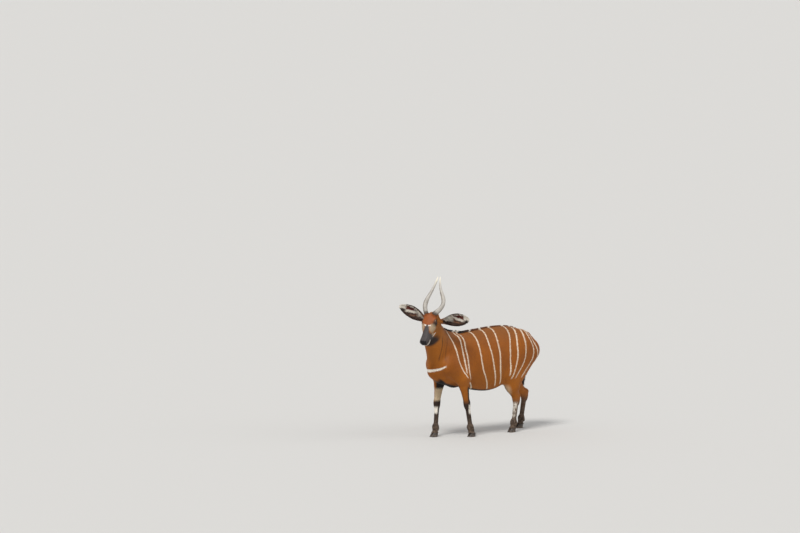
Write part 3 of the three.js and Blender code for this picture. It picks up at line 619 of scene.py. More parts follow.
# a lock leaves its root along out and bends over to lie; broad across its bend, or in its plane when edge on
def growLocks(name, root, out, lie, uv, length, width, thick, sunk=3.0, edgeOn=False, extra=None):
    count = len(root)
    length, width, thick = [np.broadcast_to(np.asarray(v, float), (count,))[:, None] / 1000 for v in (length, width, thick)]
    bed = root - out * sunk / 1000
    bend = root + out * length * 0.55
    end = bend + lie * length * 0.62
    side = np.cross(out, lie)
    side /= np.maximum(np.linalg.norm(side, axis=1), 1e-6)[:, None]
    rings = []
    for t, taper in ((0.0, 1.0), (0.45, 0.9), (0.78, 0.55)):
        centre = (1 - t) ** 2 * bed + 2 * t * (1 - t) * bend + t * t * end
        along = 2 * (1 - t) * (bend - bed) + 2 * t * (end - bend)
        along /= np.maximum(np.linalg.norm(along, axis=1), 1e-6)[:, None]
        inBend = np.cross(side, along)
        broad, slim = (inBend, side) if edgeOn else (side, inBend)
        rings += [centre + broad * width * taper / 2, centre - broad * width * taper / 2, centre + slim * thick * taper / 2]
    places = np.stack(rings + [end], 1).reshape(-1, 3)
    pattern = [0, 2, 1]
    for level in (0, 3):
        for k in range(3):
            a, b = level + k, level + (k + 1) % 3
            pattern += [a, b, b + 3, a, b + 3, a + 3]
    for k in range(3):
        pattern += [6 + k, 6 + (k + 1) % 3, 9]
    base = (np.arange(count) * 10)[:, None]
    faces = (base + np.array(pattern)).reshape(-1, 3)
    obj = meshObject(name, places, faces, smoothShade=True)
    patch = np.zeros((10, 2))
    patch[:9] = np.array([[-0.0015, 0], [0.0015, 0], [0, 0.001]] * 3)
    patch[9] = [0, 0.0015]
    uvs = (uv[:, None, :] + patch).reshape(-1, 2)[faces.ravel()]
    obj.data.uv_layers.new(name="OFBake").data.foreach_set("uv", uvs.astype(np.float32).ravel())
    storeVector(obj.data, "root", np.repeat(root, 10, axis=0))
    shade = dice.uniform(0.25, 0.75, count)[:, None] + np.linspace(-0.1, 0.15, 10)
    storeNumber(obj.data, "shade", shade.ravel())
    if extra is not None:
        storeVector(obj.data, "earPlace", np.repeat(extra, 10, axis=0))
    onlySelect(obj)
    bpy.ops.object.mode_set(mode="EDIT")
    bpy.ops.mesh.select_all(action="SELECT")
    bpy.ops.mesh.normals_make_consistent(inside=False)
    bpy.ops.object.mode_set(mode="OBJECT")
    return obj


tuftSize = {"bodyCount": 141000, "headCount": 36000, "bodyLength": 11, "bodyWidth": 4.2, "bodyLift": 2.0,
            "faceLength": 7.5, "faceWidth": 2.7, "faceLift": 1.1, "shinLength": 11, "shinWidth": 4.2, "shinLift": 1.4}


def bareSkin(p):
    h = toHead(p)
    bare = np.zeros(len(p), bool)
    for side in (1, -1):
        eye = np.array(pose["eyePlace"], float) * [1, side, 1]
        out, forward, up = eyeAxes(side)
        d = h - eye
        bare |= (np.linalg.norm(d, axis=1) < 34) & (lidGap(d @ forward, d @ up) < 4.5) & (d @ out > -8)
        n = h - np.array([389, side * 23, -50])
        bare |= np.linalg.norm(n * [1, 1, 1.4], axis=1) < 15
    bare |= (h[:, 0] > 383) & (np.abs(h[:, 1]) < 36) & (h[:, 2] > -80) & (h[:, 2] < -20)
    bare |= (np.abs(h[:, 2] - mouthLine(h[:, 0])) < 3.5) & (h[:, 0] > 262) & (h[:, 0] < 420) & (np.abs(h[:, 1]) < 80)
    return bare | (p[:, 2] < 50)


def bodyWeight(p):
    return np.where(isHead(p) | bareSkin(p), 0.0, 1.0 + 0.7 * (1 - smooth(p[:, 2], 300, 560)))


def headWeight(p):
    h = toHead(p)
    return np.where(isHead(p) & ~bareSkin(p), 1.0 + 0.8 * smooth(h[:, 0], 60, 300), 0.0)


root, n, uv = skinSamples(skin, tuftSize["bodyCount"], bodyWeight)
p = fromFrame(root)
low = 1 - smooth(p[:, 2], 330, 620)
order = np.argsort(p[:, 0], kind="stable")
thirds = np.array_split(order, 3)
coats = []
for name, part in (("coat_front", thirds[0]), ("coat_middle", thirds[1]), ("coat_rear", thirds[2])):
    sizes = [tuftSize["body" + k] + (tuftSize["shin" + k] - tuftSize["body" + k]) * low[part] for k in ("Length", "Width", "Lift")]
    coats.append(growTufts(name, root[part], n[part], uv[part], lieOf(p[part]), *sizes))
root, n, uv = skinSamples(skin, tuftSize["headCount"], headWeight)
p = fromFrame(root)
front = smooth(toHead(p)[:, 0], 20, 150)
sizes = [12 + (tuftSize["faceLength"] - 12) * front, 4.0 + (tuftSize["faceWidth"] - 4.0) * front, 1.8 + (tuftSize["faceLift"] - 1.8) * front]
coats.append(growTufts("coat_head", root, n, uv, lieOf(p), *sizes))
print("coat grown", sum(len(o.data.polygons) for o in coats))

# --- the crest along the back ---
spinePoints = np.array([(690, 0, 905), (510, 0, 885), (210, 0, 840), (-80, 0, 825), (-340, 0, 860), (-550, -4, 945),
                        (-705, -36, 1075), (-796, -68, 1190), (-836, -86, 1275)], float)
spineLength = np.concatenate([[0], np.cumsum(np.linalg.norm(np.diff(spinePoints, axis=0), axis=1))])
crest = {"count": 3400, "width": 6.5, "thick": 3.2, "spread": 11}


def spineAt(share):
    at = lambda s: np.stack([np.interp(s * spineLength[-1], spineLength, spinePoints[:, k]) for k in range(3)], 1)
    centre = sum(at(np.clip(share + d, 0, 1)) for d in (-0.05, -0.025, 0, 0.025, 0.05)) / 5
    along = at(np.clip(share + 0.06, 0, 1)) - at(np.clip(share - 0.06, 0, 1))
    return centre, along / np.linalg.norm(along, axis=1)[:, None]


def leaveForm(origin, way, reach):
    inside, outside = np.zeros(len(origin)), np.full(len(origin), float(reach))
    for _ in range(16):
        middle = (inside + outside) / 2
        within = bodyForm(origin + way * middle[:, None]) < 0
        inside = np.where(within, middle, inside)
        outside = np.where(within, outside, middle)
    return origin + way * inside[:, None]


share = np.sort(dice.uniform(0.1, 0.925, crest["count"]))
centre, along = spineAt(share)
across = np.cross(along, [0, 0, 1.0])
across /= np.linalg.norm(across, axis=1)[:, None]
up = np.cross(across, along)
offset = dice.normal(0, crest["spread"] / 2, crest["count"])
top = leaveForm(centre + across * offset[:, None], up, 420)
crestHeight = through([(0.1, 11), (0.3, 16), (0.45, 22), (0.56, 32), (0.68, 42), (0.8, 36), (0.925, 24)])
out = up + across * (offset * 0.025)[:, None] + dice.normal(0, 0.12, (crest["count"], 3))
out /= np.linalg.norm(out, axis=1)[:, None]
lie = -along + 0.35 * out + dice.normal(0, 0.1, (crest["count"], 3))
lie /= np.linalg.norm(lie, axis=1)[:, None]
_, _, crestUv = skinSamples(skin, crest["count"], lambda q: ((np.abs(q[:, 1]) < 40) & (q[:, 2] > 1080)).astype(float) + 1e-9)
crestHair = growLocks("crest_hair", toFrame(top), out, lie, crestUv, crestHeight(share) * dice.uniform(0.75, 1.12, crest["count"]),
                      crest["width"], crest["thick"], sunk=5, edgeOn=True)

# --- the tail's long tuft ---
tail = {"count": 420, "length": 92, "width": 7, "thick": 4}
tailPoints = np.array(tailPath, float)
t = dice.uniform(0.62, 0.985, tail["count"]) * (len(tailPoints) - 1)
i = np.minimum(t.astype(int), len(tailPoints) - 2)
centre = tailPoints[i] + (tailPoints[i + 1] - tailPoints[i]) * (t - i)[:, None]
angle = dice.uniform(0, 2 * math.pi, tail["count"])
spread = np.stack([np.cos(angle), np.sin(angle), np.zeros_like(angle)], 1)
girth = np.interp(t, range(len(tailGirth)), tailGirth)
out = spread * 0.55 + np.array([0, 0, -1.0])
out /= np.linalg.norm(out, axis=1)[:, None]
lie = spread * -0.1 + np.array([0, 0, -1.0]) + dice.normal(0, 0.04, (tail["count"], 3))
lie /= np.linalg.norm(lie, axis=1)[:, None]
_, _, tailUv = skinSamples(skin, tail["count"], lambda q: ((q[:, 0] > 760) & (q[:, 2] < 640)).astype(float) + 1e-9)
tailTuft = growLocks("tail_tuft", toFrame(centre + spread * girth[:, None] * 0.8), out, lie, tailUv,
                     tail["length"] * dice.uniform(0.8, 1.1, tail["count"]), tail["width"], tail["thick"], sunk=8)

# --- ears ---
ear = {"length": 346, "lift": {1: math.radians(7), -1: math.radians(27)}, "steps": 60, "turns": 34, "fringe": 170}
earHalf = through([(0, 24), (0.12, 34), (0.35, 64), (0.55, 73), (0.75, 60), (0.9, 34), (1, 5)])
earDepth = through([(0, 40), (0.12, 44), (0.35, 40), (0.6, 27), (0.85, 13), (1, 3)])
earSag = through([(0, 0), (0.3, -8), (0.6, -4), (1, 22)])
earWall = through([(0, 20), (0.1, 16), (0.22, 6), (0.6, 4), (1, 2.2)])


def earFrame(side):
    lift = ear["lift"][side]
    along = headLeft * side * math.cos(lift) + np.array([0, 0, math.sin(lift)])
    along /= np.linalg.norm(along)
    ahead = np.array([-math.cos(pose["headTurn"]), -math.sin(pose["headTurn"]), 0])
    opening = ahead * 0.93 + np.array([0, 0, -0.24])
    opening -= opening @ along * along
    opening /= np.linalg.norm(opening)
    return fromHead((54, side * 84, -120)), along, opening, np.cross(along, opening)


def earPoint(side, share, turn, wall):
    root, along, opening, rim = earFrame(side)
    half = earHalf(share) - wall
    depth = np.maximum(earDepth(share) - wall, 0.6)
    curl = 1.18 + (0.5 - 1.18) * np.minimum(share * 1.6, 1)
    angle = turn * math.pi * 0.5 * (1 + 0.28 * curl)
    open_ = -depth * np.cos(angle) + earSag(share)
    return (root + along * (share * ear["length"])[..., None] + rim * (half * np.sin(angle))[..., None]
            + opening * open_[..., None])


ears, earHairs = [], []
for side, word in ((1, "left"), (-1, "right")):
    s = np.linspace(0.0, 1, ear["steps"]) ** 0.92
    u = np.linspace(-1, 1, ear["turns"])
    shareGrid, turnGrid = np.meshgrid(s, u, indexing="ij")
    ridge = 1.5 * np.cos(turnGrid * math.pi * 3.2) * smooth(shareGrid, 0.12, 0.3) * (1 - smooth(shareGrid, 0.7, 0.95))
    outer = earPoint(side, shareGrid, turnGrid, 0.8)
    inner = earPoint(side, shareGrid[:, ::-1], turnGrid[:, ::-1] * 0.97, earWall(shareGrid) + ridge)
    ring = np.concatenate([outer, inner], 1)
    steps, sides = ring.shape[:2]
    places = ring.reshape(-1, 3)
    faces = []
    for row in range(steps - 1):
        k = np.arange(sides)
        a, b = row * sides + k, row * sides + (k + 1) % sides
        faces.append(np.stack([a, b, b + sides, a + sides], 1))
    for row in (0, steps - 1):
        k = np.arange(ear["turns"] - 1)
        other = sides - 1 - k
        cap = np.stack([row * sides + k, row * sides + k + 1, row * sides + other - 1, row * sides + other], 1)
        faces.append(cap if row else cap)
    shell = meshObject("ear_skin_" + word, toFrame(places), np.concatenate(faces))
    inside = np.concatenate([np.zeros_like(outer[..., 0]), np.ones_like(outer[..., 0])], 1)
    turnAll = np.concatenate([turnGrid, turnGrid[:, ::-1]], 1) * -side
    shareAll = np.concatenate([shareGrid, shareGrid], 1)
    storeVector(shell.data, "earPlace", np.stack([shareAll, turnAll, inside], -1).reshape(-1, 3))
    storeNumber(shell.data, "shade", np.full(len(places), 0.5))
    onlySelect(shell)
    bpy.ops.object.mode_set(mode="EDIT")
    bpy.ops.mesh.select_all(action="SELECT")
    bpy.ops.mesh.normals_make_consistent(inside=False)
    bpy.ops.uv.smart_project(angle_limit=math.radians(66), island_margin=0.004)
    bpy.ops.object.mode_set(mode="OBJECT")
    shell.data.uv_layers[0].name = "OFBake"
    bpy.ops.object.shade_smooth()
    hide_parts("ear_" + word)
    ears.append(shell)
    # long hair that stands inside the rims, and short hair on the back
    _, along, opening, rim = earFrame(side)
    roots, outs, lies, lengths, widths, marks = [], [], [], [], [], []
    for edge in (1, -1):
        count = ear["fringe"]
        share = dice.uniform(0.12, 0.95, count)
        turn = edge * dice.uniform(0.78, 0.97, count)
        roots.append(earPoint(side, share, turn, earWall(share) * 0.7))
        way = -rim * edge * 0.8 + opening * 0.15 + along * 0.5 + dice.normal(0, 0.14, (count, 3))
        outs.append(way)
        lies.append(along - rim * edge * 0.45 - opening * 0.2 + dice.normal(0, 0.12, (count, 3)))
        lengths.append(46 * (1 - 0.45 * share) * dice.uniform(0.7, 1.1, count))
        widths.append(np.full(count, 5.0))
        marks.append(np.stack([share, turn * -side, np.ones(count)], 1))
    count = 220
    share = dice.uniform(0.14, 0.86, count)
    turn = dice.uniform(-0.75, 0.75, count)
    roots.append(earPoint(side, share, turn, earWall(share)))
    outs.append(opening * 0.5 + along * 0.9 + dice.normal(0, 0.12, (count, 3)))
    lies.append(np.tile(along, (count, 1)) + dice.normal(0, 0.1, (count, 3)))
    lengths.append(24 * dice.uniform(0.7, 1.2, count))
    widths.append(np.full(count, 3.6))
    marks.append(np.stack([share, turn * -side, np.ones(count)], 1))
    count = 1500
    share = dice.uniform(0.03, 0.97, count)
    turn = dice.uniform(-0.98, 0.98, count)
    base = earPoint(side, share, turn, 1.2)
    away = base - earPoint(side, share, turn, 8.0)
    away /= np.maximum(np.linalg.norm(away, axis=1), 1e-6)[:, None]
    roots.append(base)
    outs.append(along + away * 0.25 + dice.normal(0, 0.06, (count, 3)))
    lies.append(along - away * 0.05 + dice.normal(0, 0.08, (count, 3)))
    lengths.append(np.full(count, 11.0))
    widths.append(np.full(count, 4.2))
    marks.append(np.stack([share, turn * -side, np.zeros(count)], 1))
    roots, outs, lies, lengths, widths, marks = [np.concatenate(v) for v in (roots, outs, lies, lengths, widths, marks)]
    outs /= np.linalg.norm(outs, axis=1)[:, None]
    lies /= np.linalg.norm(lies, axis=1)[:, None]
    hairUv = np.stack([0.05 + 0.9 * marks[:, 0], 0.25 + 0.2 * marks[:, 1] + 0.5 * marks[:, 2]], 1)
    earHairs.append(growLocks("ear_hair_" + word, toFrame(roots), outs, lies, hairUv, lengths, widths, 1.6, sunk=1.2, extra=marks))
print("ears grown")

# --- horns: a keeled and ringed sweep that bows out and closes again ---
horn = {"length": 474, "lean": math.radians(5), "rings": 150, "sides": 36}
bow = through([(0, 46), (0.1, 74), (0.2, 94), (0.3, 103), (0.4, 97), (0.5, 80), (0.62, 55), (0.75, 34), (0.88, 20), (1, 13)])
drift = through([(0, 0), (0.3, 5), (0.6, 0), (1, -12)])
sway = through([(0, 0), (0.25, -16), (0.5, -8), (0.75, 8), (1, 6)])
hornGirth = through([(0, 27), (0.15, 26), (0.45, 21), (0.75, 13), (0.93, 7.5), (1, 3)])


def hornCentre(side, share):
    along = share * horn["length"] - 14 * (share <= 0.0)
    return fromHead(np.stack([48 - math.cos(horn["lean"]) * along, side * bow(share) + drift(share),
                              2 + math.sin(horn["lean"]) * along + sway(share)], 1))


horns = []
for side, word in ((1, "left"), (-1, "right")):
    share = np.linspace(0, 1, horn["rings"])
    centre = hornCentre(side, share)
    centre[0] = centre[1] - (centre[2] - centre[1]) * 4
    along = np.gradient(centre, axis=0)
    along /= np.linalg.norm(along, axis=1)[:, None]
    across = np.cross(faceUp, along)
    across /= np.linalg.norm(across, axis=1)[:, None]
    up = np.cross(along, across)
    angle = np.linspace(0, 2 * math.pi, horn["sides"], endpoint=False)
    turn = (side * (0.7 + share * 2 * math.pi * 0.9))[:, None]
    keel = np.maximum(np.cos(angle - turn), 0) ** 5
    backKeel = np.maximum(np.cos(angle - turn - math.pi * 0.9), 0) ** 6
    growth = 0.55 * np.sin(share * 210 + 1.3 * np.sin(share * 37)) * (1 - smooth(share, 0.3, 0.62))
    flute = 0.25 * np.sin(angle * 7 + share[:, None] * 20)
    radius = hornGirth(share)[:, None] * (0.92 + 0.19 * keel + 0.1 * backKeel) + growth[:, None] + flute * (1 - share[:, None]) - 0.4
    radius[-1] = 0.8
    ring = centre[:, None] + across[:, None] * (np.cos(angle) * radius)[..., None] + up[:, None] * (np.sin(angle) * radius)[..., None]
    sides = horn["sides"]
    places = np.concatenate([ring.reshape(-1, 3), centre[:1], centre[-1:] + along[-1:] * 1.0])
    k = np.arange(sides)
    quads = np.concatenate([np.stack([row * sides + k, row * sides + (k + 1) % sides, (row + 1) * sides + (k + 1) % sides, (row + 1) * sides + k], 1)
                            for row in range(horn["rings"] - 1)])
    tris = np.concatenate([quads[:, [0, 1, 2]], quads[:, [0, 2, 3]],
                           np.stack([np.full(sides, len(places) - 2), (k + 1) % sides, k], 1),
                           np.stack([np.full(sides, len(places) - 1), (horn["rings"] - 1) * sides + k, (horn["rings"] - 1) * sides + (k + 1) % sides], 1)])
    obj = meshObject("horn_skin_" + word, toFrame(places), tris)
    shareAll = np.concatenate([np.repeat(share, sides), [0, 1]])
    # second field: how far each point faces the side of the horn that is painted as lit
    litSideAll = np.concatenate([np.tile(np.cos(angle - 2.2), horn["rings"]), [0, 0]])
    storeVector(obj.data, "hornPlace", np.stack([shareAll, litSideAll, np.zeros(len(shareAll))], 1))
    onlySelect(obj)
    bpy.ops.object.mode_set(mode="EDIT")
    bpy.ops.mesh.select_all(action="SELECT")
    bpy.ops.mesh.normals_make_consistent(inside=False)
    bpy.ops.object.mode_set(mode="OBJECT")
    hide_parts("horn_" + word)
    horns.append(obj)

# --- eyes ---
eyes = []
for side, word in ((1, "left"), (-1, "right")):
    eyeCentre = fromHead(np.array(pose["eyePlace"], float) * [1, side, 1])
    out, forward, up = eyeAxes(side)
    onlySelect(skin)
    skin.select_set(False)
    bpy.ops.mesh.primitive_uv_sphere_add(segments=56, ring_count=36, radius=(pose["eyeRadius"] - 0.2) / 1000)
    ball = bpy.context.object
    ball.name = "eyeball_" + word
    rotation = np.stack([forward, up, out], 1)
    local = readPlaces(ball) * 1000
    bulge = 1 + 0.075 * np.exp(-((local[:, 0] ** 2 + local[:, 1] ** 2) / 70)) * (local[:, 2] > 0)
    writePlaces(ball, toFrame(eyeCentre + (local * bulge[:, None]) @ rotation.T @ headAxes))
    storeVector(ball.data, "eyeLocal", local / pose["eyeRadius"])
    bpy.ops.object.shade_smooth()
    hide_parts("eye_" + word)
    eyes.append(ball)

# --- hooves ---
hoofSize = {"height": 43.7, "levels": 12, "around": 40}
hooves = []
for name in legs:
    toe = jointPoint(name, "toe")
    for word, inner in (("inner", -legs[name]["side"]), ("outer", legs[name]["side"])):
        share = np.linspace(0, 1, hoofSize["levels"])
        angle = np.linspace(0, 2 * math.pi, hoofSize["around"], endpoint=False)
        s, a = np.meshgrid(share, angle, indexing="ij")
        frontness = -np.cos(a)
        pinch = np.where(frontness < 0, 1 - 0.45 * frontness ** 2, 1 - 0.12 * frontness ** 2)
        insideFlat = np.where(np.sign(np.sin(a)) == -inner, 0.72, 1)
        rub = 0.35 * np.sin(s * 26) - 0.9 * smooth(s, 0.9, 1.0) - 1.4 * (1 - smooth(s, 0, 0.09))
        x = toe[0] - 12 + frontness * (44 - 12 * s + rub - 0.6) + 17 * s
        y = toe[1] + inner * 18.5 + np.sin(a) * (18.5 - 1.5 * s + rub * 0.6) * pinch * insideFlat
        ring = np.stack([x, y, s * hoofSize["height"] + 0.0], -1)
        levels, around = ring.shape[:2]
        places = np.concatenate([ring.reshape(-1, 3), ring[0].mean(0)[None], ring[-1].mean(0)[None]])
        places[:, 2] = np.maximum(places[:, 2], 0) + originShift[2] * 0
        k = np.arange(around)
        quads = np.concatenate([np.stack([r * around + k, r * around + (k + 1) % around, (r + 1) * around + (k + 1) % around, (r + 1) * around + k], 1)
                                for r in range(levels - 1)])
        tris = np.concatenate([quads[:, [0, 1, 2]], quads[:, [0, 2, 3]],
                               np.stack([np.full(around, len(places) - 2), (k + 1) % around, k], 1),
                               np.stack([np.full(around, len(places) - 1), (levels - 1) * around + k, (levels - 1) * around + (k + 1) % around], 1)])
        inFrame = toFrame(places)
        inFrame[:, 2] -= inFrame[:, 2].min()
        obj = meshObject(f"hoof_skin_{name}_{word}", inFrame, tris)
        onlySelect(obj)
        bpy.ops.object.mode_set(mode="EDIT")
        bpy.ops.mesh.select_all(action="SELECT")
        bpy.ops.mesh.normals_make_consistent(inside=False)
        bpy.ops.object.mode_set(mode="OBJECT")
        bpy.ops.object.shade_smooth_by_angle(angle=math.radians(40))
        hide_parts(f"hoof_{name}_{word}")
        hooves.append(obj)
print("horns, eyes and hooves made")

# --- shader helpers ---
def srgb(r, g, b):
    def one(v):
        v = v / 255
        return v / 12.92 if v <= 0.04045 else ((v + 0.055) / 1.055) ** 2.4
    return (one(r), one(g), one(b), 1.0)


def wire(tree, value, socket):
    if isinstance(value, bpy.types.NodeSocket):
        tree.links.new(value, socket)
    else:
        socket.default_value = value


def calc(tree, operation, *values):
    node = tree.nodes.new("ShaderNodeMath")
    node.operation = operation
    for k, value in enumerate(values):
        wire(tree, value, node.inputs[k])
    return node.outputs[0]


def rise(tree, value, start, end):
    node = tree.nodes.new("ShaderNodeMapRange")
    node.interpolation_type = "SMOOTHSTEP"
    if start > end:
        wire(tree, value, node.inputs["Value"])
        node.inputs["From Min"].default_value, node.inputs["From Max"].default_value = end, start
        node.inputs["To Min"].default_value, node.inputs["To Max"].default_value = 1, 0
    else:
        wire(tree, value, node.inputs["Value"])
        node.inputs["From Min"].default_value, node.inputs["From Max"].default_value = start, end
    return node.outputs["Result"]


def within(tree, value, low, high, soft):
    return calc(tree, "MULTIPLY", rise(tree, value, low - soft, low + soft), rise(tree, value, high + soft, high - soft))


def times(tree, *values):
    result = values[0]
    for value in values[1:]:
        result = calc(tree, "MULTIPLY", result, value)
    return result


def most(tree, *values):
    result = values[0]
    for value in values[1:]:
        result = calc(tree, "MAXIMUM", result, value)
    return result


def mixColour(tree, share, a, b):
    node = tree.nodes.new("ShaderNodeMix")
    node.data_type = "RGBA"
    wire(tree, share, node.inputs[0])
    wire(tree, a, node.inputs[6])
    wire(tree, b, node.inputs[7])
    return node.outputs[2]


def noiseAt(tree, vector, scale, detail=3.0, rough=0.55):
    node = tree.nodes.new("ShaderNodeTexNoise")
    node.inputs["Scale"].default_value = scale
    node.inputs["Detail"].default_value = detail
    node.inputs["Roughness"].default_value = rough
    tree.links.new(vector, node.inputs["Vector"])
    return node.outputs["Fac"]


def vectorCalc(tree, operation, *values):
    node = tree.nodes.new("ShaderNodeVectorMath")
    node.operation = operation
    for k, value in enumerate(values):
        wire(tree, value, node.inputs[k])
    return node.outputs["Value"] if operation in ("DOT_PRODUCT", "LENGTH", "DISTANCE") else node.outputs["Vector"]


def curveOf(tree, value, pairs, lowIn, highIn, lowOut, highOut):
    scaled = calc(tree, "DIVIDE", calc(tree, "SUBTRACT", value, lowIn), highIn - lowIn)
    node = tree.nodes.new("ShaderNodeFloatCurve")
    points = node.mapping.curves[0].points
    dots = sorted(((z - lowIn) / (highIn - lowIn), (x - lowOut) / (highOut - lowOut)) for z, x in pairs)
    points[0].location, points[1].location = dots[0], dots[-1]
    for dot in dots[1:-1]:
        points.new(*dot)
    for point in points:
        point.handle_type = "AUTO"
    node.mapping.use_clip = False
    node.mapping.update()
    tree.links.new(scaled, node.inputs["Value"])
    return calc(tree, "ADD", calc(tree, "MULTIPLY", node.outputs["Value"], highOut - lowOut), lowOut)


# --- the coat's markings, from a place on the skin in the model's frame ---
stripeSize = {"half": 0.0066, "soft": 0.0035}
stripes = [  # [height, place along the body] in metres, from the back down to the belly
    [(1.2, -0.500), (1.177, -0.492), (1.122, -0.47), (1.051, -0.434), (0.975, -0.413), (0.899, -0.401),
     (0.823, -0.384), (0.751, -0.352), (0.663, -0.292)],
    [(1.2, -0.345), (1.111, -0.334), (1.064, -0.327), (0.996, -0.326), (0.907, -0.319), (0.837, -0.309),
     (0.781, -0.302), (0.713, -0.300)],
    [(1.2, -0.296), (1.108, -0.284), (1.06, -0.275), (0.993, -0.276), (0.904, -0.273), (0.827, -0.265),
     (0.744, -0.257), (0.652, -0.235), (0.592, -0.180), (0.517, -0.107)],
    [(1.2, -0.100), (1.108, -0.099), (1.049, -0.097), (0.975, -0.095), (0.885, -0.089), (0.801, -0.076),
     (0.707, -0.046), (0.647, -0.010), (0.579, 0.034), (0.505, 0.090)],
    [(1.2, 0.062), (1.131, 0.055), (1.06, 0.045), (0.979, 0.050), (0.896, 0.064), (0.811, 0.081),
     (0.725, 0.101), (0.645, 0.125), (0.535, 0.174)],
    [(1.22, 0.196), (1.153, 0.191), (1.113, 0.187), (1.047, 0.177), (0.978, 0.177), (0.9, 0.184), (0.812, 0.185),
     (0.722, 0.189), (0.641, 0.208), (0.550, 0.246)],
    [(1.22, 0.41), (1.144, 0.391), (1.1, 0.381), (1.039, 0.365), (0.965, 0.346), (0.889, 0.337), (0.801, 0.333),
     (0.712, 0.330), (0.646, 0.320)],
    [(1.2, 0.535), (1.131, 0.495), (1.072, 0.472), (1.004, 0.459), (0.94, 0.450), (0.87, 0.443), (0.812, 0.432),
     (0.742, 0.409), (0.679, 0.380), (0.608, 0.350)],
    [(1.2, 0.60), (1.133, 0.570), (1.09, 0.553), (1.028, 0.555), (0.968, 0.561), (0.897, 0.564), (0.825, 0.559),
     (0.755, 0.532), (0.676, 0.472), (0.610, 0.406)],
    [(1.15, 0.606), (1.096, 0.612), (1.04, 0.628), (0.984, 0.662), (0.92, 0.697), (0.86, 0.706), (0.796, 0.684),
     (0.74, 0.636), (0.673, 0.570), (0.612, 0.513)],
    [(1.05, 0.672), (1.00, 0.704), (0.947, 0.740), (0.884, 0.770), (0.829, 0.784), (0.775, 0.778)],
]
# the dark brown given to the neck's creases below is painted shade
tone = {
    "chestnut": srgb(160, 90, 22), "deep": srgb(134, 84, 42), "bright": srgb(184, 112, 30), "flank": srgb(142, 78, 20),
    "stripe": srgb(232, 214, 190), "black": srgb(26, 20, 18), "brownBlack": srgb(52, 36, 28), "white": srgb(236, 228, 214),
    "cream": srgb(208, 184, 150), "red": srgb(152, 82, 38), "muzzle": srgb(76, 70, 69), "cheek": srgb(182, 164, 136), "paintedFoldShade": srgb(62, 36, 18), "nose": srgb(28, 26, 28),
    "mud": srgb(124, 106, 90), "mudDark": srgb(78, 62, 50), "shin": srgb(52, 38, 30), "hock": srgb(98, 74, 56),
}


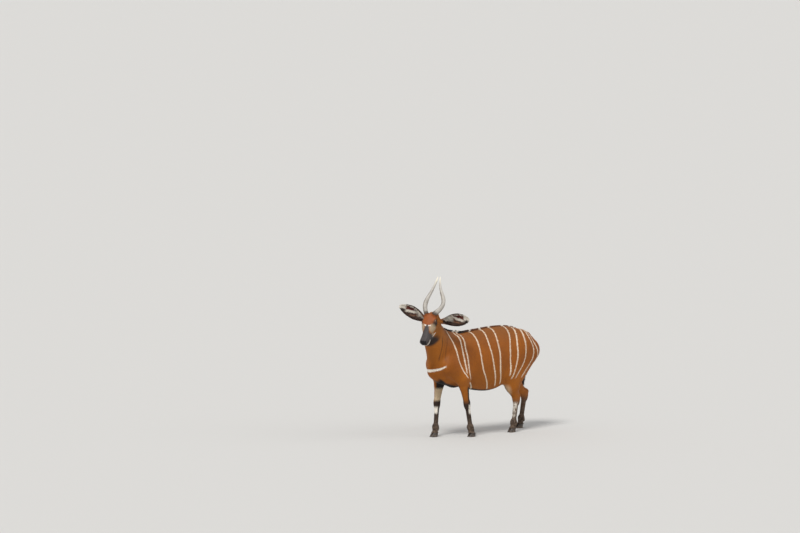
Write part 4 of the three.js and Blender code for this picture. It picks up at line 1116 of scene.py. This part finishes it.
def makeMarkings():
    tree = bpy.data.node_groups.new("coat markings", "ShaderNodeTree")
    tree.interface.new_socket("Place", in_out="INPUT", socket_type="NodeSocketVector")
    tree.interface.new_socket("Shade", in_out="INPUT", socket_type="NodeSocketFloat")
    tree.interface.new_socket("Color", in_out="OUTPUT", socket_type="NodeSocketColor")
    tree.interface.new_socket("Roughness", in_out="OUTPUT", socket_type="NodeSocketFloat")
    source = tree.nodes.new("NodeGroupInput")
    place = source.outputs["Place"]
    split = tree.nodes.new("ShaderNodeSeparateXYZ")
    tree.links.new(place, split.inputs[0])
    X, Yraw, Z = split.outputs
    Y = calc(tree, "SUBTRACT", Yraw, float(originShift[1] / 1000))
    side = calc(tree, "ABSOLUTE", Y)
    wobble = calc(tree, "SUBTRACT", noiseAt(tree, place, 7.0, 2.0), 0.5)
    fine = calc(tree, "SUBTRACT", noiseAt(tree, place, 60.0, 2.0), 0.5)
    farSide = rise(tree, Y, -0.01, 0.03)
    slow = calc(tree, "SUBTRACT", noiseAt(tree, place, 2.6, 0.0), 0.5)
    shifted = calc(tree, "ADD", calc(tree, "ADD", X, calc(tree, "MULTIPLY", wobble, 0.010)), calc(tree, "MULTIPLY", farSide, calc(tree, "MULTIPLY", slow, 0.10)))
    # base colour, deeper along the back and paler low on the flank
    wide = noiseAt(tree, place, 3.2, 2.0)
    color = mixColour(tree, rise(tree, wide, 0.3, 0.7), tone["chestnut"], tone["flank"])
    color = mixColour(tree, calc(tree, "MULTIPLY", rise(tree, Z, 0.98, 1.15), 0.7), color, tone["deep"])
    color = mixColour(tree, calc(tree, "MULTIPLY", rise(tree, Z, 0.82, 0.6), 0.3), color, tone["bright"])
    neckPart = times(tree, rise(tree, X, -0.5, -0.62), rise(tree, Z, 0.72, 0.86))
    color = mixColour(tree, calc(tree, "MULTIPLY", neckPart, 0.35), color, tone["bright"])
    # painted shade: dark lines in the creases where the neck turns
    leaning = calc(tree, "SUBTRACT", X, calc(tree, "MULTIPLY", calc(tree, "SUBTRACT", Z, 1.0), 0.12))
    for at, strength, thin in ((-0.600, 0.7, 0.006), (-0.568, 0.3, 0.005), (-0.536, 0.4, 0.007)):
        foldShadeMask = rise(tree, calc(tree, "ABSOLUTE", calc(tree, "SUBTRACT", calc(tree, "ADD", leaning, calc(tree, "MULTIPLY", wobble, 0.05)), at)), thin * 2.2, 0.0)
        foldShadeMask = times(tree, foldShadeMask, within(tree, Z, 0.87, 1.13, 0.04), rise(tree, side, 0.05, 0.08), strength)
        color = mixColour(tree, foldShadeMask, color, tone["paintedFoldShade"])
    # white stripes, each a line that runs down the side
    marks = []
    for line in stripes:
        offset = calc(tree, "ABSOLUTE", calc(tree, "SUBTRACT", shifted, curveOf(tree, Z, line, 0.45, 1.25, -0.7, 1.0)))
        ends = within(tree, Z, line[-1][0], 1.3, 0.012)
        width = calc(tree, "ADD", stripeSize["half"], calc(tree, "MULTIPLY", fine, 0.004))
        edge = calc(tree, "SUBTRACT", offset, width)
        marks.append(calc(tree, "MULTIPLY", rise(tree, edge, stripeSize["soft"], -stripeSize["soft"] * 0.6), ends))
    stripeMask = most(tree, *marks)
    bodyPart = rise(tree, X, -0.52, -0.47)
    seatGap = times(tree, rise(tree, X, 0.36, 0.44), rise(tree, side, 0.09, 0.065), rise(tree, Z, 0.95, 0.88))
    stripeMask = times(tree, stripeMask, bodyPart, calc(tree, "SUBTRACT", 1.0, seatGap))
    # dark line under the belly and brisket: partly the coat's own dark line, partly painted shade on the underside
    bottom = curveOf(tree, X, [(-0.6, 0.655), (-0.55, 0.625), (-0.48, 0.583), (-0.40, 0.558), (-0.32, 0.536), (-0.145, 0.505), (0.078, 0.473), (0.227, 0.477), (0.361, 0.522), (0.5, 0.60)], -0.6, 0.6, 0.3, 0.9)
    under = calc(tree, "SUBTRACT", Z, bottom)
    belly = times(tree, rise(tree, calc(tree, "ADD", under, calc(tree, "MULTIPLY", wobble, 0.02)), 0.034, 0.018), within(tree, X, -0.57, 0.42, 0.03), rise(tree, side, 0.15, 0.12))
    color = mixColour(tree, belly, color, tone["black"])
    color = mixColour(tree, stripeMask, color, tone["stripe"])
    # white crescent low on the front of the neck
    bandCentre = calc(tree, "ADD", 0.752, calc(tree, "MULTIPLY", calc(tree, "MULTIPLY", Y, Y), 1.9))
    bandOff = calc(tree, "ABSOLUTE", calc(tree, "SUBTRACT", calc(tree, "ADD", Z, calc(tree, "MULTIPLY", wobble, 0.012)), bandCentre))
    bandHalf = calc(tree, "SUBTRACT", 0.015, calc(tree, "MULTIPLY", side, 0.045))
    crescent = times(tree, rise(tree, calc(tree, "SUBTRACT", bandOff, bandHalf), 0.003, -0.003), rise(tree, X, -0.48, -0.53), rise(tree, side, 0.175, 0.15), rise(tree, Y, 0.125, 0.105))
    color = mixColour(tree, crescent, color, tone["white"])
    # legs
    low = rise(tree, Z, 0.50, 0.36)
    foreLeg = rise(tree, X, -0.05, -0.12)
    hindLeg = calc(tree, "SUBTRACT", 1.0, foreLeg)
    leftLeg = rise(tree, Y, 0.02, -0.02)
    color = mixColour(tree, times(tree, foreLeg, rise(tree, Z, 0.44, 0.36)), color, tone["shin"])
    hockTone = mixColour(tree, rise(tree, Z, 0.16, 0.26), tone["shin"], tone["hock"])
    color = mixColour(tree, times(tree, hindLeg, rise(tree, calc(tree, "ADD", Z, calc(tree, "MULTIPLY", wobble, 0.08)), 0.40, 0.29)), color, hockTone)
    # black at the back of the left elbow, cream on the inner side of the upper legs
    legCentreL = curveOf(tree, Z, [(0.0, -0.154), (0.108, -0.182), (0.365, -0.237), (0.655, -0.306)], 0, 0.7, -0.5, 0.0)
    legCentreR = curveOf(tree, Z, [(0.0, -0.472), (0.108, -0.454), (0.365, -0.426), (0.655, -0.370)], 0, 0.7, -0.6, -0.2)
    behindL = calc(tree, "SUBTRACT", X, legCentreL)
    behindR = calc(tree, "SUBTRACT", X, legCentreR)
    elbow = times(tree, leftLeg, foreLeg, within(tree, Z, 0.36, 0.56, 0.02), rise(tree, calc(tree, "ADD", behindL, calc(tree, "MULTIPLY", wobble, 0.03)), -0.004, 0.014), rise(tree, behindL, 0.13, 0.11))
    color = mixColour(tree, elbow, color, tone["black"])
    rightLeg = calc(tree, "SUBTRACT", 1.0, leftLeg)
    innerR = times(tree, rightLeg, foreLeg, within(tree, Z, 0.40, 0.53, 0.018), within(tree, Y, 0.075, 0.15, 0.012), within(tree, behindR, -0.09, 0.07, 0.01))
    color = mixColour(tree, innerR, color, tone["cream"])
    innerL = times(tree, leftLeg, foreLeg, within(tree, Z, 0.42, 0.51, 0.02), within(tree, Y, -0.13, -0.075, 0.012), within(tree, behindL, -0.09, 0.06, 0.01))
    color = mixColour(tree, innerL, color, tone["cream"])
    darkBand = times(tree, foreLeg, within(tree, Z, 0.555, 0.60, 0.012), rise(tree, side, 0.13, 0.1))
    color = mixColour(tree, times(tree, darkBand, 0.3), color, tone["black"])
    kneeL = times(tree, leftLeg, foreLeg, within(tree, Z, 0.262, 0.36, 0.016), rise(tree, behindL, -0.012, 0.0))
    kneeR = times(tree, rightLeg, foreLeg, within(tree, Z, 0.26, 0.33, 0.014), rise(tree, behindR, 0.004, -0.008))
    hindFront = curveOf(tree, Z, [(0.0, 0.44), (0.11, 0.466), (0.24, 0.482), (0.362, 0.50)], 0, 0.5, 0.3, 0.7)
    hindWhite = times(tree, leftLeg, hindLeg, within(tree, Z, 0.17, 0.33, 0.02), rise(tree, calc(tree, "SUBTRACT", X, hindFront), 0.012, -0.006))
    thighLine = times(tree, hindLeg, leftLeg, within(tree, Z, 0.33, 0.53, 0.03), within(tree, calc(tree, "SUBTRACT", X, curveOf(tree, Z, [(0.3, 0.445), (0.42, 0.40), (0.53, 0.345)], 0.2, 0.6, 0.2, 0.6)), -0.06, 0.004, 0.02))
    color = mixColour(tree, times(tree, thighLine, 0.6), color, tone["cream"])
    patches = most(tree, kneeL, kneeR, times(tree, hindWhite, rise(tree, noiseAt(tree, place, 45.0, 3.0), 0.36, 0.5)))
    color = mixColour(tree, patches, color, tone["white"])
    # dried mud on the lower legs
    mudNoise = noiseAt(tree, place, 24.0, 5.0, 0.65)
    mudShare = times(tree, rise(tree, calc(tree, "SUBTRACT", Z, calc(tree, "MULTIPLY", hindLeg, 0.1)), 0.32, 0.05), rise(tree, mudNoise, 0.3, 0.56))
    mudTone = mixColour(tree, rise(tree, noiseAt(tree, place, 70.0, 3.0), 0.35, 0.65), tone["mud"], tone["mudDark"])
    color = mixColour(tree, times(tree, mudShare, 0.85), color, mudTone)
    # the head, in its own frame
    away = vectorCalc(tree, "SUBTRACT", place, Vector(toFrame(headOrigin)))
    hx, hy, hz = [vectorCalc(tree, "DOT_PRODUCT", away, Vector(axis)) for axis in headAxes]
    hSide = calc(tree, "ABSOLUTE", hy)
    onHead = times(tree, rise(tree, hx, -0.02, 0.02), rise(tree, hSide, 0.13, 0.12), rise(tree, hz, -0.235, -0.2), rise(tree, hx, 0.44, 0.43))
    hw = calc(tree, "MULTIPLY", calc(tree, "SUBTRACT", noiseAt(tree, place, 40.0, 3.0), 0.5), 0.02)
    h1 = calc(tree, "ADD", hx, hw)
    faceColor = mixColour(tree, rise(tree, hz, -0.05, -0.01), color, tone["red"])
    def spot(x, y, z, rx, ry, rz, soft=0.25):
        parts = [calc(tree, "POWER", calc(tree, "ABSOLUTE", calc(tree, "DIVIDE", calc(tree, "SUBTRACT", v, c), r)), 2.0) for v, c, r in ((h1, x, rx), (hSide, y, ry), (hz, z, rz))]
        total = calc(tree, "ADD", calc(tree, "ADD", parts[0], parts[1]), parts[2])
        return rise(tree, total, 1 + soft, 1 - soft)
    eyeDark = spot(0.142, 0.076, -0.036, 0.052, 0.034, 0.034, 0.5)
    faceColor = mixColour(tree, calc(tree, "MULTIPLY", eyeDark, 0.9), faceColor, tone["brownBlack"])
    browLine = spot(0.120, 0.078, -0.012, 0.024, 0.012, 0.004, 0.6)
    faceColor = mixColour(tree, calc(tree, "MULTIPLY", browLine, 0.5), faceColor, tone["cheek"])
    bridgeHalf = curveOf(tree, hx, [(0.18, 0.010), (0.215, 0.021), (0.25, 0.029), (0.30, 0.036)], 0.15, 0.35, 0.0, 0.06)
    bridge = times(tree, rise(tree, h1, 0.186, 0.2), rise(tree, calc(tree, "SUBTRACT", calc(tree, "ADD", hSide, calc(tree, "MULTIPLY", hw, 0.5)), bridgeHalf), 0.004, -0.003), rise(tree, hz, -0.06, -0.03))
    faceColor = mixColour(tree, bridge, faceColor, tone["muzzle"])
    cheek = most(tree, spot(0.205, 0.054, -0.045, 0.050, 0.038, 0.042, 0.75), spot(0.248, 0.052, -0.098, 0.02, 0.03, 0.018, 0.7))
    faceColor = mixColour(tree, calc(tree, "MULTIPLY", cheek, 0.85), faceColor, tone["cheek"])
    chevronLine = calc(tree, "SUBTRACT", h1, calc(tree, "SUBTRACT", 0.205, calc(tree, "MULTIPLY", hSide, 0.5)))
    chevron = times(tree, rise(tree, calc(tree, "ABSOLUTE", chevronLine), 0.0095, 0.004), within(tree, hSide, 0.011, 0.036, 0.003), rise(tree, hz, -0.05, -0.03))
    faceColor = mixColour(tree, chevron, faceColor, tone["white"])
    muzzle = rise(tree, calc(tree, "ADD", h1, calc(tree, "MULTIPLY", hz, -0.25)), 0.262, 0.3)
    faceColor = mixColour(tree, muzzle, faceColor, tone["muzzle"])
    lipLine = calc(tree, "ABSOLUTE", calc(tree, "SUBTRACT", hz, -0.080))
    lipWhite = times(tree, rise(tree, lipLine, 0.012, 0.005), within(tree, hx, 0.335, 0.40, 0.008), rise(tree, hSide, 0.02, 0.03))
    chin = times(tree, rise(tree, hz, -0.1, -0.108), rise(tree, hx, 0.325, 0.345))
    jawStreak = spot(0.236, 0.055, -0.122, 0.036, 0.03, 0.006)
    faceColor = mixColour(tree, calc(tree, "MULTIPLY", most(tree, lipWhite, chin, jawStreak), 0.85), faceColor, tone["white"])
    pad = times(tree, rise(tree, h1, 0.372, 0.392), rise(tree, hSide, 0.04, 0.032), within(tree, hz, -0.078, -0.02, 0.006))
    faceColor = mixColour(tree, pad, faceColor, tone["nose"])
    # painted shadow under the jaw and down the throat
    underJawShade = times(tree, rise(tree, hz, -0.135, -0.16), rise(tree, hx, 0.17, 0.25))
    faceColor = mixColour(tree, calc(tree, "MULTIPLY", underJawShade, 0.8), faceColor, tone["brownBlack"])
    color = mixColour(tree, onHead, color, faceColor)
    # each tuft a little lighter or darker than its neighbour
    shade = source.outputs["Shade"]
    bright = tree.nodes.new("ShaderNodeHueSaturation")
    tree.links.new(color, bright.inputs["Color"])
    tree.links.new(calc(tree, "ADD", 0.66, calc(tree, "MULTIPLY", shade, 0.68)), bright.inputs["Value"])
    rough = calc(tree, "ADD", 0.52, calc(tree, "MULTIPLY", mudShare, 0.3))
    rough = calc(tree, "SUBTRACT", rough, calc(tree, "MULTIPLY", times(tree, pad, onHead), 0.28))
    sink = tree.nodes.new("NodeGroupOutput")
    tree.links.new(bright.outputs["Color"], sink.inputs["Color"])
    tree.links.new(rough, sink.inputs["Roughness"])
    return tree


markings = makeMarkings()


def newMaterial(name):
    material = bpy.data.materials.new(name)
    material.use_nodes = True
    return material, material.node_tree, material.node_tree.nodes["Principled BSDF"]


def attribute(tree, name):
    node = tree.nodes.new("ShaderNodeAttribute")
    node.attribute_name = name
    return node


def bumpFrom(tree, height, strength, distance):
    node = tree.nodes.new("ShaderNodeBump")
    node.inputs["Strength"].default_value = strength
    node.inputs["Distance"].default_value = distance
    tree.links.new(height, node.inputs["Height"])
    return node.outputs["Normal"]


def coatMaterial(name, bumpScale, bumpStrength):
    material, tree, shader = newMaterial(name)
    group = tree.nodes.new("ShaderNodeGroup")
    group.node_tree = markings
    tree.links.new(attribute(tree, "root").outputs["Vector"], group.inputs["Place"])
    tree.links.new(attribute(tree, "shade").outputs["Fac"], group.inputs["Shade"])
    tree.links.new(group.outputs["Color"], shader.inputs["Base Color"])
    tree.links.new(group.outputs["Roughness"], shader.inputs["Roughness"])
    if bumpStrength:
        coords = tree.nodes.new("ShaderNodeTexCoord")
        stretch = tree.nodes.new("ShaderNodeMapping")
        stretch.inputs["Scale"].default_value = (0.35, 1.0, 0.6)
        tree.links.new(coords.outputs["Object"], stretch.inputs["Vector"])
        height = noiseAt(tree, stretch.outputs["Vector"], bumpScale, 4.0, 0.6)
        tree.links.new(bumpFrom(tree, height, bumpStrength, 0.002), shader.inputs["Normal"])
    shader.inputs["Specular IOR Level"].default_value = 0.22
    shader.inputs["Sheen Weight"].default_value = 0.04
    shader.inputs["Sheen Roughness"].default_value = 0.4
    return material


skin.data.materials.clear()
skin.data.materials.append(coatMaterial("short hair on the skin", 620.0, 0.5))
tuftMaterial = coatMaterial("coat tufts", 0, 0)
for obj in coats:
    obj.data.materials.append(tuftMaterial)


def crestMaterial():
    material, tree, shader = newMaterial("crest hair")
    split = tree.nodes.new("ShaderNodeSeparateXYZ")
    tree.links.new(attribute(tree, "root").outputs["Vector"], split.inputs[0])
    X = split.outputs[0]
    color = mixColour(tree, rise(tree, X, -0.26, 0.02), tone["black"], srgb(112, 62, 24))
    tops = most(tree, *[rise(tree, calc(tree, "ABSOLUTE", calc(tree, "SUBTRACT", X, line[1][1] + 0.004)), 0.019, 0.012) for line in stripes[:-1]])
    neckWhite = within(tree, X, -0.60, -0.545, 0.01)
    color = mixColour(tree, most(tree, tops, neckWhite), color, tone["white"])
    neckTone = rise(tree, X, -0.62, -0.68)
    color = mixColour(tree, neckTone, color, srgb(92, 44, 20))
    bright = tree.nodes.new("ShaderNodeHueSaturation")
    tree.links.new(color, bright.inputs["Color"])
    shade = attribute(tree, "shade").outputs["Fac"]
    tree.links.new(calc(tree, "ADD", 0.66, calc(tree, "MULTIPLY", shade, 0.68)), bright.inputs["Value"])
    tree.links.new(bright.outputs["Color"], shader.inputs["Base Color"])
    shader.inputs["Roughness"].default_value = 0.5
    return material


def tailMaterial():
    material, tree, shader = newMaterial("tail tuft hair")
    shade = attribute(tree, "shade").outputs["Fac"]
    color = mixColour(tree, shade, srgb(20, 15, 13), srgb(64, 42, 30))
    tree.links.new(color, shader.inputs["Base Color"])
    shader.inputs["Roughness"].default_value = 0.5
    return material


def earMaterial(name, hair):
    material, tree, shader = newMaterial(name)
    split = tree.nodes.new("ShaderNodeSeparateXYZ")
    place = attribute(tree, "earPlace").outputs["Vector"]
    tree.links.new(place, split.inputs[0])
    share, turn, inside = split.outputs
    coords = tree.nodes.new("ShaderNodeTexCoord")
    patch = calc(tree, "MULTIPLY", calc(tree, "SUBTRACT", noiseAt(tree, coords.outputs["Object"], 26.0, 3.0), 0.5), 0.5)
    at = calc(tree, "ADD", turn, patch)
    innerTone = mixColour(tree, rise(tree, share, 0.3, 0.6), srgb(120, 76, 56), srgb(104, 50, 36))
    innerTone = mixColour(tree, rise(tree, at, -0.05, -0.3), innerTone, srgb(78, 58, 48))
    redPatch = times(tree, within(tree, share, 0.4, 0.72, 0.05), within(tree, at, 0.12, 0.74, 0.08))
    innerTone = mixColour(tree, redPatch, innerTone, srgb(92, 30, 22))
    rootPatch = times(tree, within(tree, share, 0.12, 0.38, 0.05), within(tree, at, -0.22, 1.3, 0.12))
    slope = calc(tree, "ADD", at, calc(tree, "MULTIPLY", calc(tree, "SUBTRACT", share, 0.6), 0.9))
    streak = times(tree, within(tree, slope, -0.2, 0.06, 0.08), within(tree, share, 0.36, 0.78, 0.05))
    thinStreak = times(tree, within(tree, slope, -0.5, -0.4, 0.06), within(tree, share, 0.3, 0.6, 0.06))
    upperRim = times(tree, rise(tree, at, 0.76, 0.9), rise(tree, share, 0.3, 0.4))
    innerTone = mixColour(tree, calc(tree, "MULTIPLY", thinStreak, 0.5), innerTone, srgb(186, 130, 90))
    innerTone = mixColour(tree, most(tree, rootPatch, streak, upperRim), innerTone, tone["white"])
    outerTone = mixColour(tree, rise(tree, share, 0.0, 0.3), srgb(128, 74, 28), srgb(66, 48, 38))
    color = mixColour(tree, rise(tree, inside, 0.4, 0.6), outerTone, innerTone)
    tip = rise(tree, calc(tree, "ADD", share, calc(tree, "MULTIPLY", patch, 0.12)), 0.76, 0.82)
    tipTone = mixColour(tree, rise(tree, at, -0.3, 0.05), srgb(58, 48, 42), tone["white"])
    tipTone = mixColour(tree, rise(tree, share, 0.9, 0.95), tipTone, tone["white"])
    color = mixColour(tree, tip, color, tipTone)
    bright = tree.nodes.new("ShaderNodeHueSaturation")
    tree.links.new(color, bright.inputs["Color"])
    shade = attribute(tree, "shade").outputs["Fac"]
    tree.links.new(calc(tree, "ADD", 0.7, calc(tree, "MULTIPLY", shade, 0.6)), bright.inputs["Value"])
    tree.links.new(bright.outputs["Color"], shader.inputs["Base Color"])
    shader.inputs["Roughness"].default_value = 0.6
    shader.inputs["Specular IOR Level"].default_value = 0.3
    if not hair:
        height = noiseAt(tree, coords.outputs["Object"], 700.0, 3.0)
        tree.links.new(bumpFrom(tree, height, 0.35, 0.0012), shader.inputs["Normal"])
    return material


def hornMaterial():
    material, tree, shader = newMaterial("ringed horn")
    split = tree.nodes.new("ShaderNodeSeparateXYZ")
    tree.links.new(attribute(tree, "hornPlace").outputs["Vector"], split.inputs[0])
    share, paintedLitSide, _ = split.outputs
    coords = tree.nodes.new("ShaderNodeTexCoord")
    patch = noiseAt(tree, coords.outputs["Object"], 22.0, 5.0, 0.6)
    color = mixColour(tree, rise(tree, patch, 0.35, 0.65), srgb(96, 84, 72), srgb(160, 150, 136))
    # painted light: one side of each horn pale as if lit, with the far side left darker as painted shade
    color = mixColour(tree, calc(tree, "MULTIPLY", rise(tree, paintedLitSide, 0.1, 0.9), 0.65), color, srgb(208, 202, 192))
    color = mixColour(tree, rise(tree, share, 0.08, 0.0), color, srgb(74, 60, 48))
    color = mixColour(tree, rise(tree, share, 0.72, 0.95), color, srgb(232, 224, 204))
    rings = tree.nodes.new("ShaderNodeTexWave")
    rings.wave_type = "BANDS"
    rings.inputs["Scale"].default_value = 16.0
    rings.inputs["Distortion"].default_value = 3.0
    rings.inputs["Detail"].default_value = 3.0
    rings.inputs["Detail Scale"].default_value = 2.0
    joined = tree.nodes.new("ShaderNodeCombineXYZ")
    tree.links.new(share, joined.inputs[0])
    tree.links.new(calc(tree, "MULTIPLY", paintedLitSide, 0.01), joined.inputs[1])
    tree.links.new(joined.outputs[0], rings.inputs["Vector"])
    ringShare = calc(tree, "MULTIPLY", rings.outputs["Fac"], rise(tree, share, 0.75, 0.35))
    color = mixColour(tree, calc(tree, "MULTIPLY", ringShare, 0.35), color, srgb(70, 60, 50))
    tree.links.new(color, shader.inputs["Base Color"])
    tree.links.new(calc(tree, "ADD", 0.34, calc(tree, "MULTIPLY", patch, 0.25)), shader.inputs["Roughness"])
    fibre = noiseAt(tree, coords.outputs["Object"], 240.0, 4.0)
    height = calc(tree, "ADD", calc(tree, "MULTIPLY", ringShare, 0.5), fibre)
    tree.links.new(bumpFrom(tree, height, 0.35, 0.0015), shader.inputs["Normal"])
    return material


def hoofMaterial():
    material, tree, shader = newMaterial("hoof with dried mud")
    coords = tree.nodes.new("ShaderNodeTexCoord")
    place = coords.outputs["Object"]
    split = tree.nodes.new("ShaderNodeSeparateXYZ")
    tree.links.new(place, split.inputs[0])
    stretch = tree.nodes.new("ShaderNodeMapping")
    stretch.inputs["Scale"].default_value = (0.2, 0.2, 3.0)
    tree.links.new(place, stretch.inputs["Vector"])
    bands = noiseAt(tree, stretch.outputs["Vector"], 60.0, 3.0)
    mud = noiseAt(tree, place, 36.0, 6.0, 0.65)
    color = mixColour(tree, bands, srgb(40, 33, 29), srgb(78, 68, 60))
    mudShare = times(tree, rise(tree, mud, 0.44, 0.62), rise(tree, split.outputs[2], 0.05, 0.0))
    color = mixColour(tree, mudShare, color, tone["mud"])
    tree.links.new(color, shader.inputs["Base Color"])
    tree.links.new(calc(tree, "ADD", 0.42, calc(tree, "MULTIPLY", mudShare, 0.45)), shader.inputs["Roughness"])
    tree.links.new(bumpFrom(tree, calc(tree, "ADD", bands, mudShare), 0.4, 0.0015), shader.inputs["Normal"])
    return material


def eyeMaterial():
    material, tree, shader = newMaterial("wet dark eye")
    split = tree.nodes.new("ShaderNodeSeparateXYZ")
    tree.links.new(attribute(tree, "eyeLocal").outputs["Vector"], split.inputs[0])
    x, y, z = split.outputs
    reach = calc(tree, "SQRT", calc(tree, "ADD", calc(tree, "MULTIPLY", x, x), calc(tree, "MULTIPLY", y, y)))
    oval = calc(tree, "ADD", calc(tree, "POWER", calc(tree, "ABSOLUTE", calc(tree, "DIVIDE", x, 0.42)), 2.0), calc(tree, "POWER", calc(tree, "ABSOLUTE", calc(tree, "DIVIDE", y, 0.2)), 2.0))
    front = rise(tree, z, 0.0, 0.2)
    coords = tree.nodes.new("ShaderNodeTexCoord")
    fleck = noiseAt(tree, coords.outputs["Object"], 900.0, 3.0)
    iris = mixColour(tree, fleck, srgb(34, 18, 10), srgb(62, 34, 18))
    color = mixColour(tree, rise(tree, reach, 0.62, 0.7), iris, srgb(26, 18, 15))
    color = mixColour(tree, times(tree, rise(tree, oval, 1.15, 0.85), front), color, (0.003, 0.003, 0.004, 1))
    tree.links.new(color, shader.inputs["Base Color"])
    shader.inputs["Roughness"].default_value = 0.12
    shader.inputs["Specular IOR Level"].default_value = 0.35
    shader.inputs["Coat Weight"].default_value = 0.3
    shader.inputs["Coat Roughness"].default_value = 0.03
    return material


crestHair.data.materials.append(crestMaterial())
tailTuft.data.materials.append(tailMaterial())
earSkin, earHair = earMaterial("ear skin", False), earMaterial("ear hair", True)
for obj in ears:
    obj.data.materials.append(earSkin)
for obj in earHairs:
    obj.data.materials.append(earHair)
hornFinish, hoofFinish, eyeFinish = hornMaterial(), hoofMaterial(), eyeMaterial()
for group, material in ((horns, hornFinish), (hooves, hoofFinish), (eyes, eyeFinish)):
    for obj in group:
        obj.data.materials.clear()
        obj.data.materials.append(material)

for obj in [skin, crestHair, tailTuft] + coats + ears + earHairs + horns + hooves + eyes:
    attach(obj, body)
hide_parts(*fleshNames)
print("materials set", sum(len(o.data.polygons) for o in [skin, crestHair, tailTuft] + coats + ears + earHairs + horns + hooves + eyes))

# --- floor, light and camera ---
studio = {"floor": 420.0, "sun": 2.3, "fill": 0.5, "world": 0.55}
onlySelect(skin)
skin.select_set(False)
bpy.ops.mesh.primitive_plane_add(size=studio["floor"], location=(0, 0, 0))
floor = bpy.context.object
floor.name = "floor"
floorMaterial, floorTree, floorShader = newMaterial("pale floor")
floorShader.inputs["Base Color"].default_value = srgb(206, 203, 198)
floorShader.inputs["Roughness"].default_value = 0.85
floor.data.materials.append(floorMaterial)

world = bpy.data.worlds.new("studio")
bpy.context.scene.world = world
world.use_nodes = True
world.node_tree.nodes["Background"].inputs["Color"].default_value = (0.93, 0.96, 1.0, 1)
world.node_tree.nodes["Background"].inputs["Strength"].default_value = studio["world"]
for name, turn, strength, soft in (("key", (math.radians(38), 0, math.radians(-62)), studio["sun"], 18), ("fill", (math.radians(58), 0, math.radians(40)), studio["fill"], 40)):
    lamp = bpy.data.lights.new(name, "SUN")
    lamp.energy = strength
    lamp.angle = math.radians(soft)
    lampObject = bpy.data.objects.new(name, lamp)
    lampObject.rotation_euler = turn
    bpy.context.scene.collection.objects.link(lampObject)

view = {"yaw": math.radians(42), "distance": 73.5, "height": 9.03, "focal": 6760.0, "ground": (482.0, 434.0), "width": 800, "drop": 661.5}
back = np.array([-math.sin(view["yaw"]), -math.cos(view["yaw"]), 0.0])
right = np.array([math.cos(view["yaw"]), -math.sin(view["yaw"]), 0.0])
pitch = math.atan(view["drop"] / view["focal"])
swing = math.atan((view["ground"][0] - view["width"] / 2) / view["focal"] / math.cos(pitch))
level = -back * math.cos(swing) - right * math.sin(swing)
cameraRight = right * math.cos(swing) - back * math.sin(swing)
look = level * math.cos(pitch) + np.array([0, 0, -math.sin(pitch)])
cameraUp = np.cross(cameraRight, look)
camera = bpy.data.cameras.new("camera")
camera.sensor_width = 36
camera.lens = view["focal"] / view["width"] * 36
camera.clip_start, camera.clip_end = 1.0, 600.0
cameraObject = bpy.data.objects.new("camera", camera)
bpy.context.scene.collection.objects.link(cameraObject)
stand = back * view["distance"] + np.array([0, 0, view["height"]]) + originShift / 1000
turn = Matrix([list(row) for row in np.stack([cameraRight, cameraUp, -look], 1)])
cameraObject.matrix_world = Matrix.Translation(Vector(stand)) @ turn.to_4x4()
bpy.context.scene.camera = cameraObject
bpy.context.scene.view_settings.view_transform = "Standard"
